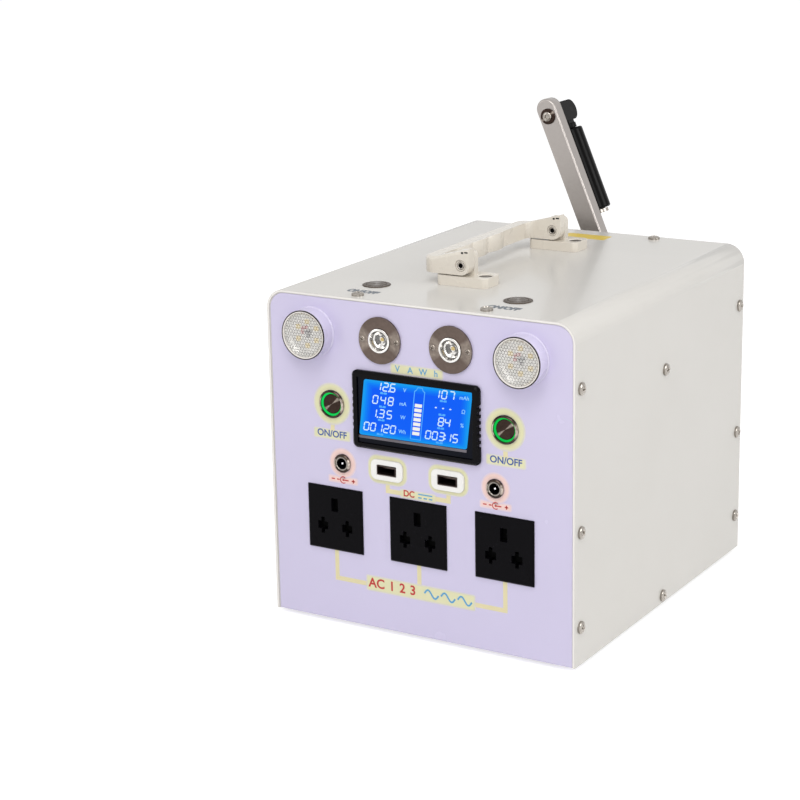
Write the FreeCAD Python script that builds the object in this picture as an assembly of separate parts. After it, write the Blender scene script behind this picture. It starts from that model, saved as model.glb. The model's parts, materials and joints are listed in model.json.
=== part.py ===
import FreeCAD, Part
import math
import os
from FreeCAD import Vector

# A hand crank power station: a folded sheet-metal case with sockets, lamps and a meter on its front,
# a folding carry handle on its top and a crank on its rear that turns a geared generator inside.
# Millimetres. +Z is up, the front panel faces -Y, and the origin is on the floor under the case's middle.

# ---------------------------------------------------------------------------------------------
# Driving dimensions
# ---------------------------------------------------------------------------------------------

# Modelling
over = 1.0  # how far a cutting tool reaches past what it cuts
near = 0.01  # how close to a plane the edges lie that are picked by it

# Case
case_width = 215.0
case_depth = 251.0
case_height = 212.5
case_corner = 12.5  # outside bend radius of the shell's two top edges
shell_wall = 1.5
panel_wall = 1.5
panel_gap = 0.3  # all round, between a panel and the shell
panel_inset = 0.4  # how far a panel's face sits inside the shell's edge
panel_bend = 1.0  # outside bend radius between a panel's face and its flanges
panel_flange = 16.0
base_wall = 1.5
base_flange = 14.0
foot_height = 3.0  # what shows of a foot under the case
foot_radius = 9.0
foot_inset = 29.0
foot_taper = 1.0
base_corner_room = 1.0  # between the base plate's flanges and the panels' flanges
vent_rows = 8
vent_row_pitch = 8.0
vent_width = 46.0
vent_tall = 3.2
vent_low = 26.0
vent_pitch = 104.0

# Case screws, M4 pan heads
screw_radius = 2.0
screw_head_radius = 3.9
screw_head_height = 2.3
screw_hole_play = 0.15
side_screw_inset = 7.2  # from the case's front and rear edges
side_screw_heights = (24.5, 84.3, 172.5)  # above the case's underside
top_screw_inset = 7.9
top_screw_pitch = 90.0
base_screw_height = 5.3
brace_screw_drop = 56.3  # from the case's top

# Cross brace that carries the inverter
brace_wall = 1.5
brace_depth = 100.0
brace_drop = 8.0  # from its side screws down to its shelf
brace_tab = 14.0

# Front panel layout, in rows from the top down
lamp_row_drop = 24.5  # from the case's top to the lamps' middle
lens_lamp_pitch = 148.6
spot_lamp_pitch = 49.6
meter_row_gap = 5.3  # from the spot lamps' lower edge to the meter's upper edge
button_pitch = 122.2
usb_row_gap = 6.2  # from the meter's lower edge to the USB bezels' upper edge
usb_pitch = 43.2
dc_pitch = 108.4
socket_row_gap = 9.8  # from the USB bezels' lower edge to the sockets' upper edge
socket_pitch = 60.3

# Mains sockets
socket_width = 40.5
socket_tall = 42.0
socket_rim = 1.6  # thickness of its face in front of the panel
socket_chamfer = 1.0
socket_body_width = 36.0
socket_body_tall = 37.5
socket_body_depth = 22.0
cutout_play = 0.25  # round each snap-in body in its cutout
slot_depth = 16.0
earth_slot_width = 4.8
earth_slot_tall = 8.6
earth_slot_rise = 9.2
pin_slot_pitch = 18.0
pin_slot_width = 7.4
pin_slot_tall = 5.0
pin_slot_drop = 5.2
blade_slot_width = 2.4
blade_slot_tall = 10.5

# Panel meter
meter_width = 89.6
meter_tall = 49.6
meter_rim = 3.6
meter_chamfer = 1.6
meter_corner = 3.5
meter_body_width = 84.6
meter_body_tall = 44.6
meter_body_depth = 20.0
meter_window_width = 81.0
meter_window_tall = 42.0
meter_window_depth = 3.2
meter_glass_wall = 2.0
meter_glass_play = 0.2
notch_count = 7
notch_pitch = 4.05
notch_width = 2.0
notch_depth = 1.2

# USB ports
usb_bezel_width = 22.8
usb_bezel_tall = 13.2
usb_bezel_rim = 1.6
usb_bezel_corner = 4.0
usb_mouth_width = 12.5
usb_mouth_tall = 5.12
usb_metal = 0.4
usb_length = 14.0
usb_tongue_width = 11.1
usb_tongue_wall = 1.84
usb_tongue_length = 8.5
usb_tongue_rise = 0.9

# DC jacks
dc_nut_radius = 6.0
dc_nut_height = 2.0
dc_barrel_radius = 3.9
dc_barrel_depth = 13.0
dc_mouth_radius = 3.0
dc_mouth_depth = 10.0
dc_pin_radius = 1.05
dc_pin_inset = 1.0

# Push buttons: two with a lit ring on the front, two plain ones on the top
button_flange_radius = 9.0
button_flange_height = 1.8
top_button_flange_height = 0.7
button_barrel_radius = 7.8
button_barrel_length = 24.0
button_bore_depth = 13.0
button_cap_radius = 6.3
button_cap_length = 10.0
button_cap_proud = 0.4  # above its flange
top_button_cap_proud = 0.2
top_button_pitch = 100.0
top_button_inset = 38.0  # from the case's front edge

# Lens lamps
lens_lamp_radius = 15.6
lens_lamp_length = 10.8
lens_lamp_ring_radius = 16.3
lens_lamp_ring_height = 2.4
lens_lamp_body_radius = 12.5
lens_lamp_body_depth = 22.0
lens_lamp_lip = 1.1
lens_lamp_recess = 4.5
lens_radius_play = 0.1
lens_crown = 0.8

# Spot lamps
spot_flange_radius = 14.7
spot_flange_wall = 1.6
spot_bore_radius = 6.4
spot_ring_radius = 7.6
spot_ring_height = 1.0
spot_screw_pitch = 24.2
spot_screw_hole_radius = 1.4
spot_body_radius = 8.6
spot_body_depth = 26.0
spot_recess = 5.0
spot_lens_play = 0.1
spot_lens_inset = 0.3  # from the ring's face to the lens's crown
spot_lens_crown = 1.5

# Carry handle
handle_foot_length = 36.0
handle_foot_width = 19.5
handle_foot_wall = 6.3
handle_foot_corner = 4.0
handle_span = 123.5  # between the same faces of its two feet
handle_rear_shift = 2.0  # of the feet's middle from the case's middle
handle_pivot_height = 13.3
handle_arm_wall = 7.0
handle_arm_end = 6.0  # from the pivot to the arm's free end
handle_arm_drop = 6.1  # from the pivot to the arm's underside
handle_arm_rise = 10.8  # from the pivot to the arm's upper corner at its free end
handle_grip_rise = 4.2  # from the pivot to the grip's upper face
handle_grip_reach = 27.8  # from the pivot to the grip's outer face
handle_grip_wall = 10.0
handle_corner = 8.0
handle_inner_corner = 5.0
handle_edge = 2.0  # radius along the handle's upper edges
bump_count = 3
bump_pitch = 21.0
bump_height = 2.2
bump_shift = -7.5  # of the bumps' middle from the grip's middle
lug_wall = 4.8
lug_half_width = 6.0
lug_rise = 8.4
lug_corner = 3.0
lug_gap = 0.3
handle_heel = 5.7  # radius under each arm's free end
pivot_pin_radius = 2.5
pivot_pin_head_radius = 3.4
pivot_pin_head_height = 1.6
pivot_head_play = 0.3
running_play = 0.05  # radial, between a pin or shaft and what turns on it
foot_screw_pitch = 25.0
foot_screw_radius = 2.4
foot_screw_head_radius = 4.6
foot_screw_head_height = 2.4
foot_screw_play = 0.15
foot_screw_reach = 4.0  # below the shell

# Crank
shaft_drop = 47.1  # from the case's top to the crank shaft
shaft_radius = 6.0
crank_lean = 22.8  # degrees to the left of straight up, at rest
crank_throw = 131.6  # from the shaft to the grip's knuckle
arm_stand_off = 22.0  # from the case's rear edge to the arm's face
arm_width = 15.0
arm_channel_depth = 9.8
arm_metal = 2.0
arm_top_reach = 12.6  # from the knuckle's screw to the arm's upper end
arm_bottom_reach = 10.5  # from the shaft to the arm's lower end
arm_bend = 1.5
hub_radius = 11.0
hub_clearance = 0.5
hub_screw_radius = 3.0
hub_screw_head_radius = 4.6
hub_screw_head_height = 4.0
hub_screw_depth = 8.0
hub_washer_wall = 1.2
hub_washer_play = 0.3
knuckle_half_width = 6.0
knuckle_radius = 7.3
knuckle_back = 25.7  # from the arm's face to the knuckle's hinge axis
knuckle_seat_play = 0.2  # between the bracket and the channel round it
knuckle_plug_rise = 3.0
knuckle_screw_radius = 2.5
knuckle_washer_radius = 5.6
knuckle_washer_wall = 1.0
knuckle_screw_head_radius = 3.4
knuckle_screw_head_height = 1.6
knuckle_screw_depth = 9.0
tongue_half_width = 2.4
tongue_radius = 6.2
tongue_gap = 0.3
tongue_throat = 0.6  # between the tongue's rim and the slot's end
hinge_pin_radius = 2.0
spindle_radius = 3.6
spindle_collar_radius = 4.7
spindle_collar_length = 3.5
spindle_root_half = 4.2
grip_start = 13.1  # from the hinge axis to the grip's near end
grip_length = 61.0
grip_radius = 8.0
grip_edge = 1.5
grip_end_play = 0.4
grip_screw_radius = 5.5
grip_screw_wall = 2.5

# Crank bearing on the rear panel
bearing_flange_radius = 22.0
bearing_flange_wall = 8.0
bearing_flange_edge = 1.5
bearing_hole_play = 1.0
bush_wall = 2.0
bush_collar_rim = 2.0
bush_collar_wall = 1.5

# Gear train: crank gear and idler pinion, then idler wheel and generator pinion
first_module = 1.25
second_module = 1.0
wheel_teeth = 60
pinion_teeth = 15
tooth_addendum = 0.8  # in modules; the teeth are stubbed so that small pinions need no undercut
tooth_dedendum = 1.05
tooth_backlash = 0.16
pressure_angle = 20.0
idler_angle = -60.0  # direction from the crank shaft to the idler, from +X towards +Z
generator_angle = -150.0  # direction from the idler to the generator
crank_gear_width = 9.0
crank_gear_hub_radius = 12.0
idler_pinion_width = 11.0
idler_wheel_width = 7.0
generator_pinion_width = 8.0
gear_side_room = 3.6  # between the gears and the gearbox plates
pinion_overhang = 1.0  # of the idler pinion past the crank gear's rear face
pinion_lead = 0.5  # of the generator pinion past the idler wheel's front face
web_wall = 3.5
web_rim = 3.0

# Gearbox
gearbox_plate_wall = 3.0
gearbox_room = 30.6
gearbox_left = -52.0
gearbox_right = 60.0
gearbox_drop = 7.0  # from the case's top to the plates' upper edge
gearbox_tall = 125.5
gearbox_corner = 6.0
post_radius = 4.0
post_inset = 7.0
idler_shaft_radius = 4.0
idler_collar_radius = 6.5
idler_shaft_end = 0.3  # from the shaft's rear end to the rear panel

# Generator
generator_radius = 26.0
generator_length = 68.0
generator_can_wall = 2.5
generator_cap_wall = 3.0
rotor_radius = 16.0
rotor_length = 44.0
rotor_shaft_radius = 2.5
rotor_bearing_radius = 6.0
generator_nose = 2.0  # of the can's boss into the gearbox plate
generator_cap_boss = 3.0
rotor_shaft_end = 1.5  # of the rotor's shaft into the end cap's boss
rotor_bore_end = 2.0

# Battery of prismatic cells
cell_count = 4
cell_width = 27.0
cell_length = 130.0
cell_room = 5.85  # between the cells and the generator above them
cell_gap = 1.0
cell_edge = 2.0
terminal_radius = 4.0
terminal_height = 3.0
terminal_places = (0.25, 0.75)  # up a cell's end, in parts of its height
battery_rear_shift = 0.0
battery_board_gap = 2.7  # between the cells and the charge board beside them
tray_wall = 1.2
tray_lip = 12.0
tray_play = 0.2
tray_front_room = 6.0
strap_width = 15.0
strap_wall = 1.0
strap_front_shift = -12.0
strap_play = 0.1

# Circuit boards
board_wall = 1.6
standoff_radius = 3.0
standoff_height = 6.0
standoff_inset = 5.0
inverter_board_width = 150.0
inverter_board_depth = 80.0
charge_board_width = 38.0
charge_board_depth = 84.0
charge_board_side_gap = 8.0
heatsink_inset = 8.0  # from the board's right edge
heatsink_width = 34.0
heatsink_length = 66.0
heatsink_tall = 28.0
heatsink_base = 3.0
heatsink_fins = 6
heatsink_fin_wall = 1.5
transformer_inset = 34.0  # from the board's left edge to its middle
transformer_core_width = 40.0
transformer_core_depth = 16.0
transformer_core_tall = 33.0
transformer_coil_width = 27.0
transformer_coil_depth = 32.0
transformer_coil_tall = 23.0
charge_coil_radius = 8.0
charge_coil_tall = 9.0
charge_coil_inset = 22.0  # from the board's front edge
charge_chip_width = 18.0
charge_chip_front = 4.0
charge_chip_tall = 4.0

# ---------------------------------------------------------------------------------------------
# Places that follow from the dimensions
# ---------------------------------------------------------------------------------------------

half_width = case_width / 2
front_edge = -case_depth / 2
rear_edge = case_depth / 2
case_floor = foot_height
case_top = case_floor + case_height
front_face = front_edge + panel_inset
rear_face = rear_edge - panel_inset
front_inside = front_face + panel_wall
rear_inside = rear_face - panel_wall
panel_half_width = half_width - shell_wall - panel_gap
panel_top = case_top - shell_wall - panel_gap
panel_corner = case_corner - shell_wall - panel_gap
base_underside = case_floor + panel_wall
base_top = base_underside + base_wall
brace_screw_height = case_height - brace_screw_drop
shelf_underside = case_floor + brace_screw_height - brace_drop
shelf_top = shelf_underside + brace_wall

# Heights of the front panel's rows above the case's underside
lamp_row_height = case_height - lamp_row_drop
meter_height = lamp_row_height - spot_flange_radius - meter_row_gap - meter_tall / 2
usb_height = meter_height - (meter_tall + usb_bezel_tall) / 2 - usb_row_gap
dc_height = usb_height
socket_height = usb_height - (usb_bezel_tall + socket_tall) / 2 - socket_row_gap

shaft_height = case_top - shaft_drop
arm_face = rear_edge + arm_stand_off
bearing_face = rear_face + bearing_flange_wall
hinge_axis_y = arm_face + knuckle_back
knuckle_height = shaft_height + crank_throw

gearbox_high = case_top - gearbox_drop
gearbox_low = gearbox_high - gearbox_tall
gearbox_rear_plate_front = rear_inside - gearbox_plate_wall
gearbox_front_plate_rear = gearbox_rear_plate_front - gearbox_room
gearbox_front_plate_front = gearbox_front_plate_rear - gearbox_plate_wall
first_centres = first_module * (wheel_teeth + pinion_teeth) / 2
second_centres = second_module * (wheel_teeth + pinion_teeth) / 2
idler_x = first_centres * math.cos(math.radians(idler_angle))
idler_height = shaft_height + first_centres * math.sin(math.radians(idler_angle))
generator_x = idler_x + second_centres * math.cos(math.radians(generator_angle))
generator_height = idler_height + second_centres * math.sin(math.radians(generator_angle))

handle_pivot_z = case_top + handle_pivot_height
handle_front_foot_y = handle_rear_shift - (handle_span + handle_foot_width) / 2
handle_rear_foot_y = handle_front_foot_y + handle_span

pack_width = cell_count * cell_width + (cell_count - 1) * cell_gap
pack_front = battery_rear_shift - cell_length / 2
pack_rear = battery_rear_shift + cell_length / 2
pack_low = base_top + tray_wall
pack_high = generator_height - generator_radius - cell_room
cell_tall = pack_high - pack_low

inverter_x = inverter_board_width / 2
inverter_y = inverter_board_depth / 2
inverter_top = shelf_top + standoff_height + board_wall
charge_right = panel_half_width - base_wall - charge_board_side_gap
charge_left = charge_right - charge_board_width
charge_y = charge_board_depth / 2
pack_x = charge_left - battery_board_gap - pack_width / 2

X_AXIS = Vector(1, 0, 0)
Y_AXIS = Vector(0, 1, 0)
Z_AXIS = Vector(0, 0, 1)


# ---------------------------------------------------------------------------------------------
# Basic shapes
# ---------------------------------------------------------------------------------------------


def block(x_low, x_high, y_low, y_high, z_low, z_high):
    size = (x_high - x_low, y_high - y_low, z_high - z_low)
    return Part.makeBox(*size, Vector(x_low, y_low, z_low))


def rod_x(radius, y, z, x_low, x_high):
    return Part.makeCylinder(radius, x_high - x_low, Vector(x_low, y, z), X_AXIS)


def rod_y(radius, x, z, y_low, y_high):
    return Part.makeCylinder(radius, y_high - y_low, Vector(x, y_low, z), Y_AXIS)


def rod_z(radius, x, y, z_low, z_high):
    return Part.makeCylinder(radius, z_high - z_low, Vector(x, y, z_low), Z_AXIS)


def cone_z(radius_low, radius_high, x, y, z_low, z_high):
    return Part.makeCone(radius_low, radius_high, z_high - z_low, Vector(x, y, z_low), Z_AXIS)


def joined(first, *others):
    """One solid from touching or overlapping ones, without the seams between them."""
    return first.fuse(list(others)).removeSplitter()


def group(solids):
    return Part.makeCompound(list(solids))


def rounded_rectangle(width, tall, corner):
    """Edges of a rectangle with round corners about the origin of the XY plane."""
    a, b, r = width / 2, tall / 2, corner
    k = r * (1 - math.sqrt(0.5))
    corners = (
        ((a, -b + r), (a, b - r), (a - k, b - k), (a - r, b)),
        ((a - r, b), (-a + r, b), (-a + k, b - k), (-a, b - r)),
        ((-a, b - r), (-a, -b + r), (-a + k, -b + k), (-a + r, -b)),
        ((-a + r, -b), (a - r, -b), (a - k, -b + k), (a, -b + r)),
    )
    edges = []
    for start, side_end, arc_middle, arc_end in corners:
        side_end = Vector(*side_end, 0)
        edges.append(Part.LineSegment(Vector(*start, 0), side_end).toShape())
        edges.append(Part.Arc(side_end, Vector(*arc_middle, 0), Vector(*arc_end, 0)).toShape())
    return edges


def tile_y(width, tall, corner, x, z, y_low, y_high):
    """A plate with round corners that stands across Y."""
    face = Part.Face(Part.Wire(rounded_rectangle(width, tall, corner)))
    face.rotate(Vector(0, 0, 0), X_AXIS, 90)
    face.translate(Vector(x, y_low, z))
    return face.extrude(Vector(0, y_high - y_low, 0))


def tile_z(width, deep, corner, x, y, z_low, z_high):
    """A plate with round corners that lies flat."""
    face = Part.Face(Part.Wire(rounded_rectangle(width, deep, corner)))
    face.translate(Vector(x, y, z_low))
    return face.extrude(Vector(0, 0, z_high - z_low))


def arch_edges(half, low, high, corner, y):
    """Outline of the case's section: a rectangle with its two top corners round."""
    k = corner * (1 - math.sqrt(0.5))
    bottom_left = Vector(-half, y, low)
    left_spring = Vector(-half, y, high - corner)
    left_crown = Vector(-half + corner, y, high)
    right_crown = Vector(half - corner, y, high)
    right_spring = Vector(half, y, high - corner)
    bottom_right = Vector(half, y, low)
    return [
        Part.LineSegment(bottom_left, left_spring).toShape(),
        Part.Arc(left_spring, Vector(-half + k, y, high - k), left_crown).toShape(),
        Part.LineSegment(left_crown, right_crown).toShape(),
        Part.Arc(right_crown, Vector(half - k, y, high - k), right_spring).toShape(),
        Part.LineSegment(right_spring, bottom_right).toShape(),
        Part.LineSegment(bottom_right, bottom_left).toShape(),
    ]


def arch(half, low, high, corner, y_low, y_high):
    face = Part.Face(Part.Wire(arch_edges(half, low, high, corner, y_low)))
    return face.extrude(Vector(0, y_high - y_low, 0))


def edges_on_plane_y(shape, y):
    return [e for e in shape.Edges if abs(e.BoundBox.YMin - y) < near and abs(e.BoundBox.YMax - y) < near]


def edges_on_plane_z(shape, z):
    return [e for e in shape.Edges if abs(e.BoundBox.ZMin - z) < near and abs(e.BoundBox.ZMax - z) < near]


def mirrored_x(shape):
    return shape.mirror(Vector(0, 0, 0), X_AXIS)


def both_sides(shape):
    return group([mirrored_x(shape), shape])


# ---------------------------------------------------------------------------------------------
# Case
# ---------------------------------------------------------------------------------------------


def side_screw_places():
    """(y, height) of the screws in each side of the shell."""
    places = []
    for y in (front_edge + side_screw_inset, rear_edge - side_screw_inset):
        places += [(y, case_floor + height) for height in side_screw_heights]
    places.append((0.0, case_floor + base_screw_height))
    places.append((0.0, case_floor + brace_screw_height))
    return places


def top_screw_places():
    """(x, y) of the screws in the shell's top."""
    rows = (front_edge + top_screw_inset, rear_edge - top_screw_inset)
    return [(x, y) for y in rows for x in (-top_screw_pitch / 2, top_screw_pitch / 2)]


def foot_screw_places():
    """(x, y) of the screws that hold the carry handle's feet."""
    rows = [front_y + handle_foot_width / 2 for front_y in (handle_front_foot_y, handle_rear_foot_y)]
    return [(x, y) for y in rows for x in (-foot_screw_pitch / 2, foot_screw_pitch / 2)]


def case_screw_holes(radius):
    end = half_width + over
    holes = [rod_x(radius, y, z, -end, end) for y, z in side_screw_places()]
    low = panel_top - panel_wall - over
    holes += [rod_z(radius, x, y, low, case_top + over) for x, y in top_screw_places()]
    return holes


def outer_shell():
    outside = arch(half_width, case_floor, case_top, case_corner, front_edge, rear_edge)
    inside = arch(
        half_width - shell_wall,
        case_floor - over,
        case_top - shell_wall,
        case_corner - shell_wall,
        front_edge - over,
        rear_edge + over,
    )
    shell = outside.cut(inside)
    holes = case_screw_holes(screw_radius + screw_hole_play)
    low, high = case_top - shell_wall - over, case_top + over
    for x in (-top_button_pitch / 2, top_button_pitch / 2):
        y = front_edge + top_button_inset
        holes.append(rod_z(button_barrel_radius + cutout_play, x, y, low, high))
    for x, y in foot_screw_places():
        holes.append(rod_z(foot_screw_radius + foot_screw_play, x, y, low, high))
    return shell.cut(holes)


def dished_panel(face_y, inward):
    """A sheet with four flanges folded back from it; inward is +1 where they run towards +Y."""
    edge_y = face_y + inward * panel_flange
    low_y, high_y = sorted((face_y, edge_y))
    outside = arch(panel_half_width, case_floor, panel_top, panel_corner, low_y, high_y)
    outside = outside.makeFillet(panel_bend, edges_on_plane_y(outside, face_y))
    inner_face = face_y + inward * panel_wall
    low_y, high_y = sorted((inner_face, edge_y + inward * over))
    inside = arch(
        panel_half_width - panel_wall,
        case_floor + panel_wall,
        panel_top - panel_wall,
        panel_corner - panel_wall,
        low_y,
        high_y,
    )
    return outside.cut(inside)


def front_cutouts():
    """What is cut from the front panel for the pieces that it carries."""
    low, high = front_face - over, front_inside + over
    play = 2 * cutout_play
    row = case_floor + socket_height
    cuts = []
    for x in (-socket_pitch, 0.0, socket_pitch):
        half, tall = (socket_body_width + play) / 2, (socket_body_tall + play) / 2
        cuts.append(block(x - half, x + half, low, high, row - tall, row + tall))
    row = case_floor + meter_height
    half, tall = (meter_body_width + play) / 2, (meter_body_tall + play) / 2
    cuts.append(block(-half, half, low, high, row - tall, row + tall))
    half, tall = usb_mouth_width / 2 + usb_metal + cutout_play, usb_mouth_tall / 2 + usb_metal + cutout_play
    row = case_floor + usb_height
    for x in (-usb_pitch / 2, usb_pitch / 2):
        cuts.append(block(x - half, x + half, low, high, row - tall, row + tall))
    round_cuts = (
        (dc_pitch, dc_height, dc_barrel_radius),
        (button_pitch, meter_height, button_barrel_radius),
        (lens_lamp_pitch, lamp_row_height, lens_lamp_body_radius),
        (spot_lamp_pitch, lamp_row_height, spot_body_radius),
    )
    for pitch, height, radius in round_cuts:
        for x in (-pitch / 2, pitch / 2):
            cuts.append(rod_y(radius + cutout_play, x, case_floor + height, low, high))
    return cuts


def front_panel():
    return dished_panel(front_face, 1).cut(front_cutouts())


def rear_panel():
    low_y, high_y = rear_inside - over, rear_face + over
    hole_radius = shaft_radius + bush_wall + bearing_hole_play
    cuts = [rod_y(hole_radius, 0, shaft_height, low_y, high_y)]
    half = vent_width / 2
    for row in range(vent_rows):
        low = case_floor + vent_low + row * vent_row_pitch
        for x in (-vent_pitch / 2, vent_pitch / 2):
            cuts.append(block(x - half, x + half, low_y, high_y, low, low + vent_tall))
    return dished_panel(rear_face, -1).cut(cuts)


def base_plate():
    """A sheet on the panels' lower flanges, with its sides folded up between them."""
    flange_front = front_face + panel_flange + base_corner_room
    flange_rear = rear_face - panel_flange - base_corner_room
    flange_top = base_underside + base_flange
    inner = panel_half_width - base_wall
    middle = block(-inner, inner, front_inside, rear_inside, base_underside, base_top)
    left = block(-panel_half_width, -inner, flange_front, flange_rear, base_underside, flange_top)
    right = block(inner, panel_half_width, flange_front, flange_rear, base_underside, flange_top)
    room = base_corner_room - panel_gap
    ends = []
    for low, high in ((front_inside, flange_front), (flange_rear, rear_inside)):
        for x in (-inner, inner - room):
            ends.append(block(x, x + room, low, high, base_underside - over, base_top + over))
    return joined(middle, left, right).cut(ends)


def rubber_feet():
    x = half_width - foot_inset
    y = case_depth / 2 - foot_inset
    places = ((-x, -y), (x, -y), (-x, y), (x, y))
    return group(
        cone_z(foot_radius - foot_taper, foot_radius, foot_x, foot_y, 0, base_underside)
        for foot_x, foot_y in places
    )


def case_screws():
    """M4 pan head screws; each shank ends in the flange or tab behind the shell."""
    length = shell_wall + panel_gap
    screws = []
    for y, z in side_screw_places():
        head = rod_x(screw_head_radius, y, z, half_width, half_width + screw_head_height)
        shank = rod_x(screw_radius, y, z, half_width - length, half_width)
        screw = joined(head, shank)
        screws += [screw, mirrored_x(screw)]
    for x, y in top_screw_places():
        head = rod_z(screw_head_radius, x, y, case_top, case_top + screw_head_height)
        screws.append(joined(head, rod_z(screw_radius, x, y, case_top - length, case_top)))
    return group(screws)


def cross_brace():
    low, high = -brace_depth / 2, brace_depth / 2
    shelf = block(-panel_half_width, panel_half_width, low, high, shelf_underside, shelf_top)
    inner = panel_half_width - brace_wall
    tab_top = shelf_underside + brace_tab
    left = block(-panel_half_width, -inner, low, high, shelf_underside, tab_top)
    right = block(inner, panel_half_width, low, high, shelf_underside, tab_top)
    return joined(shelf, left, right)


# ---------------------------------------------------------------------------------------------
# Front panel pieces
# ---------------------------------------------------------------------------------------------


def socket_slots(x, z):
    """An earth slot above two pin slots, each of which also takes an upright blade."""
    low, high = front_face - socket_rim - over, front_face - socket_rim + slot_depth
    half, tall = earth_slot_width / 2, earth_slot_tall / 2
    rise = z + earth_slot_rise
    slots = [block(x - half, x + half, low, high, rise - tall, rise + tall)]
    drop = z - pin_slot_drop
    for middle in (x - pin_slot_pitch / 2, x + pin_slot_pitch / 2):
        half, tall = pin_slot_width / 2, pin_slot_tall / 2
        pin = block(middle - half, middle + half, low, high, drop - tall, drop + tall)
        half, tall = blade_slot_width / 2, blade_slot_tall / 2
        slots.append(joined(pin, block(middle - half, middle + half, low, high, drop - tall, drop + tall)))
    return slots


def ac_socket(x):
    z = case_floor + socket_height
    face_y = front_face - socket_rim
    half, tall = socket_width / 2, socket_tall / 2
    rim = block(x - half, x + half, face_y, front_face, z - tall, z + tall)
    rim = rim.makeChamfer(socket_chamfer, edges_on_plane_y(rim, face_y))
    half, tall = socket_body_width / 2, socket_body_tall / 2
    body_end = front_face + socket_body_depth
    body = block(x - half, x + half, front_face, body_end, z - tall, z + tall)
    return joined(rim, body).cut(socket_slots(x, z))


def meter_bezel():
    z = case_floor + meter_height
    face_y = front_face - meter_rim
    rim = tile_y(meter_width, meter_tall, meter_corner, 0, z, face_y, front_face)
    rim = rim.makeChamfer(meter_chamfer, edges_on_plane_y(rim, face_y))
    half, tall = meter_body_width / 2, meter_body_tall / 2
    body = block(-half, half, front_face, front_face + meter_body_depth, z - tall, z + tall)
    half, tall = meter_window_width / 2, meter_window_tall / 2
    window = block(-half, half, face_y - over, face_y + meter_window_depth, z - tall, z + tall)
    notches = []
    for number in range(notch_count):
        rise = z + (number - (notch_count - 1) / 2) * notch_pitch
        low, high = rise - notch_width / 2, rise + notch_width / 2
        for edge in (-meter_width / 2, meter_width / 2):
            left, right = edge - notch_depth, edge + notch_depth
            notches.append(block(left, right, face_y - over, front_face, low, high))
    return joined(rim, body).cut([window, *notches])


def meter_display():
    z = case_floor + meter_height
    rear = front_face - meter_rim + meter_window_depth
    half = meter_window_width / 2 - meter_glass_play
    tall = meter_window_tall / 2 - meter_glass_play
    return block(-half, half, rear - meter_glass_wall, rear, z - tall, z + tall)


def usb_bezel(x):
    z = case_floor + usb_height
    face_y = front_face - usb_bezel_rim
    rim = tile_y(usb_bezel_width, usb_bezel_tall, usb_bezel_corner, x, z, face_y, front_face)
    half, tall = usb_mouth_width / 2 + usb_metal + cutout_play, usb_mouth_tall / 2 + usb_metal + cutout_play
    return rim.cut(block(x - half, x + half, face_y - over, front_face + over, z - tall, z + tall))


def usb_port(x):
    z = case_floor + usb_height
    face_y = front_face - usb_bezel_rim
    end_y = face_y + usb_length
    half, tall = usb_mouth_width / 2, usb_mouth_tall / 2
    outer, outer_tall = half + usb_metal, tall + usb_metal
    case = block(x - outer, x + outer, face_y, end_y, z - outer_tall, z + outer_tall)
    rear = end_y - usb_metal
    mouth = block(x - half, x + half, face_y - over, rear, z - tall, z + tall)
    half = usb_tongue_width / 2
    low = z + usb_tongue_rise - usb_tongue_wall / 2
    tongue = block(x - half, x + half, rear - usb_tongue_length, rear, low, low + usb_tongue_wall)
    return joined(case.cut(mouth), tongue)


def dc_jack(x):
    z = case_floor + dc_height
    face_y = front_face - dc_nut_height
    nut = rod_y(dc_nut_radius, x, z, face_y, front_face)
    barrel = rod_y(dc_barrel_radius, x, z, front_face, front_face + dc_barrel_depth)
    mouth = rod_y(dc_mouth_radius, x, z, face_y - over, face_y + dc_mouth_depth)
    pin = rod_y(dc_pin_radius, x, z, face_y + dc_pin_inset, face_y + dc_mouth_depth)
    return joined(joined(nut, barrel).cut(mouth), pin)


def button_barrel(flange_height):
    """A push button's body, looking up, with its flange's underside at z = 0."""
    flange = rod_z(button_flange_radius, 0, 0, 0, flange_height)
    barrel = rod_z(button_barrel_radius, 0, 0, flange_height - button_barrel_length, 0)
    bore_low = flange_height - button_bore_depth
    bore = rod_z(button_cap_radius + running_play, 0, 0, bore_low, flange_height + over)
    return joined(flange, barrel).cut(bore)


def button_cap(flange_height, proud):
    top = flange_height + proud
    return rod_z(button_cap_radius, 0, 0, top - button_cap_length, top)


def on_front(shape, x, height):
    """Turn a shape that looks up so that it looks out of the front panel."""
    placed = shape.copy()
    placed.rotate(Vector(0, 0, 0), X_AXIS, 90)
    placed.translate(Vector(x, front_face, case_floor + height))
    return placed


def on_top(shape, x):
    placed = shape.copy()
    placed.translate(Vector(x, front_edge + top_button_inset, case_top))
    return placed


def button_barrels():
    on_panel = on_front(button_barrel(button_flange_height), button_pitch / 2, meter_height)
    on_lid = on_top(button_barrel(top_button_flange_height), top_button_pitch / 2)
    return group([mirrored_x(on_panel), on_panel, mirrored_x(on_lid), on_lid])


def lens_lamp_housing():
    """A lamp body, looking up: a ring on the panel, a short tube in front and a barrel behind."""
    ring = rod_z(lens_lamp_ring_radius, 0, 0, 0, lens_lamp_ring_height)
    tube = rod_z(lens_lamp_radius, 0, 0, lens_lamp_ring_height, lens_lamp_length)
    barrel = rod_z(lens_lamp_body_radius, 0, 0, -lens_lamp_body_depth, 0)
    seat_radius = lens_lamp_radius - lens_lamp_lip
    seat = rod_z(seat_radius, 0, 0, lens_lamp_length - lens_lamp_recess, lens_lamp_length + over)
    return joined(ring, tube, barrel).cut(seat)


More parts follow.
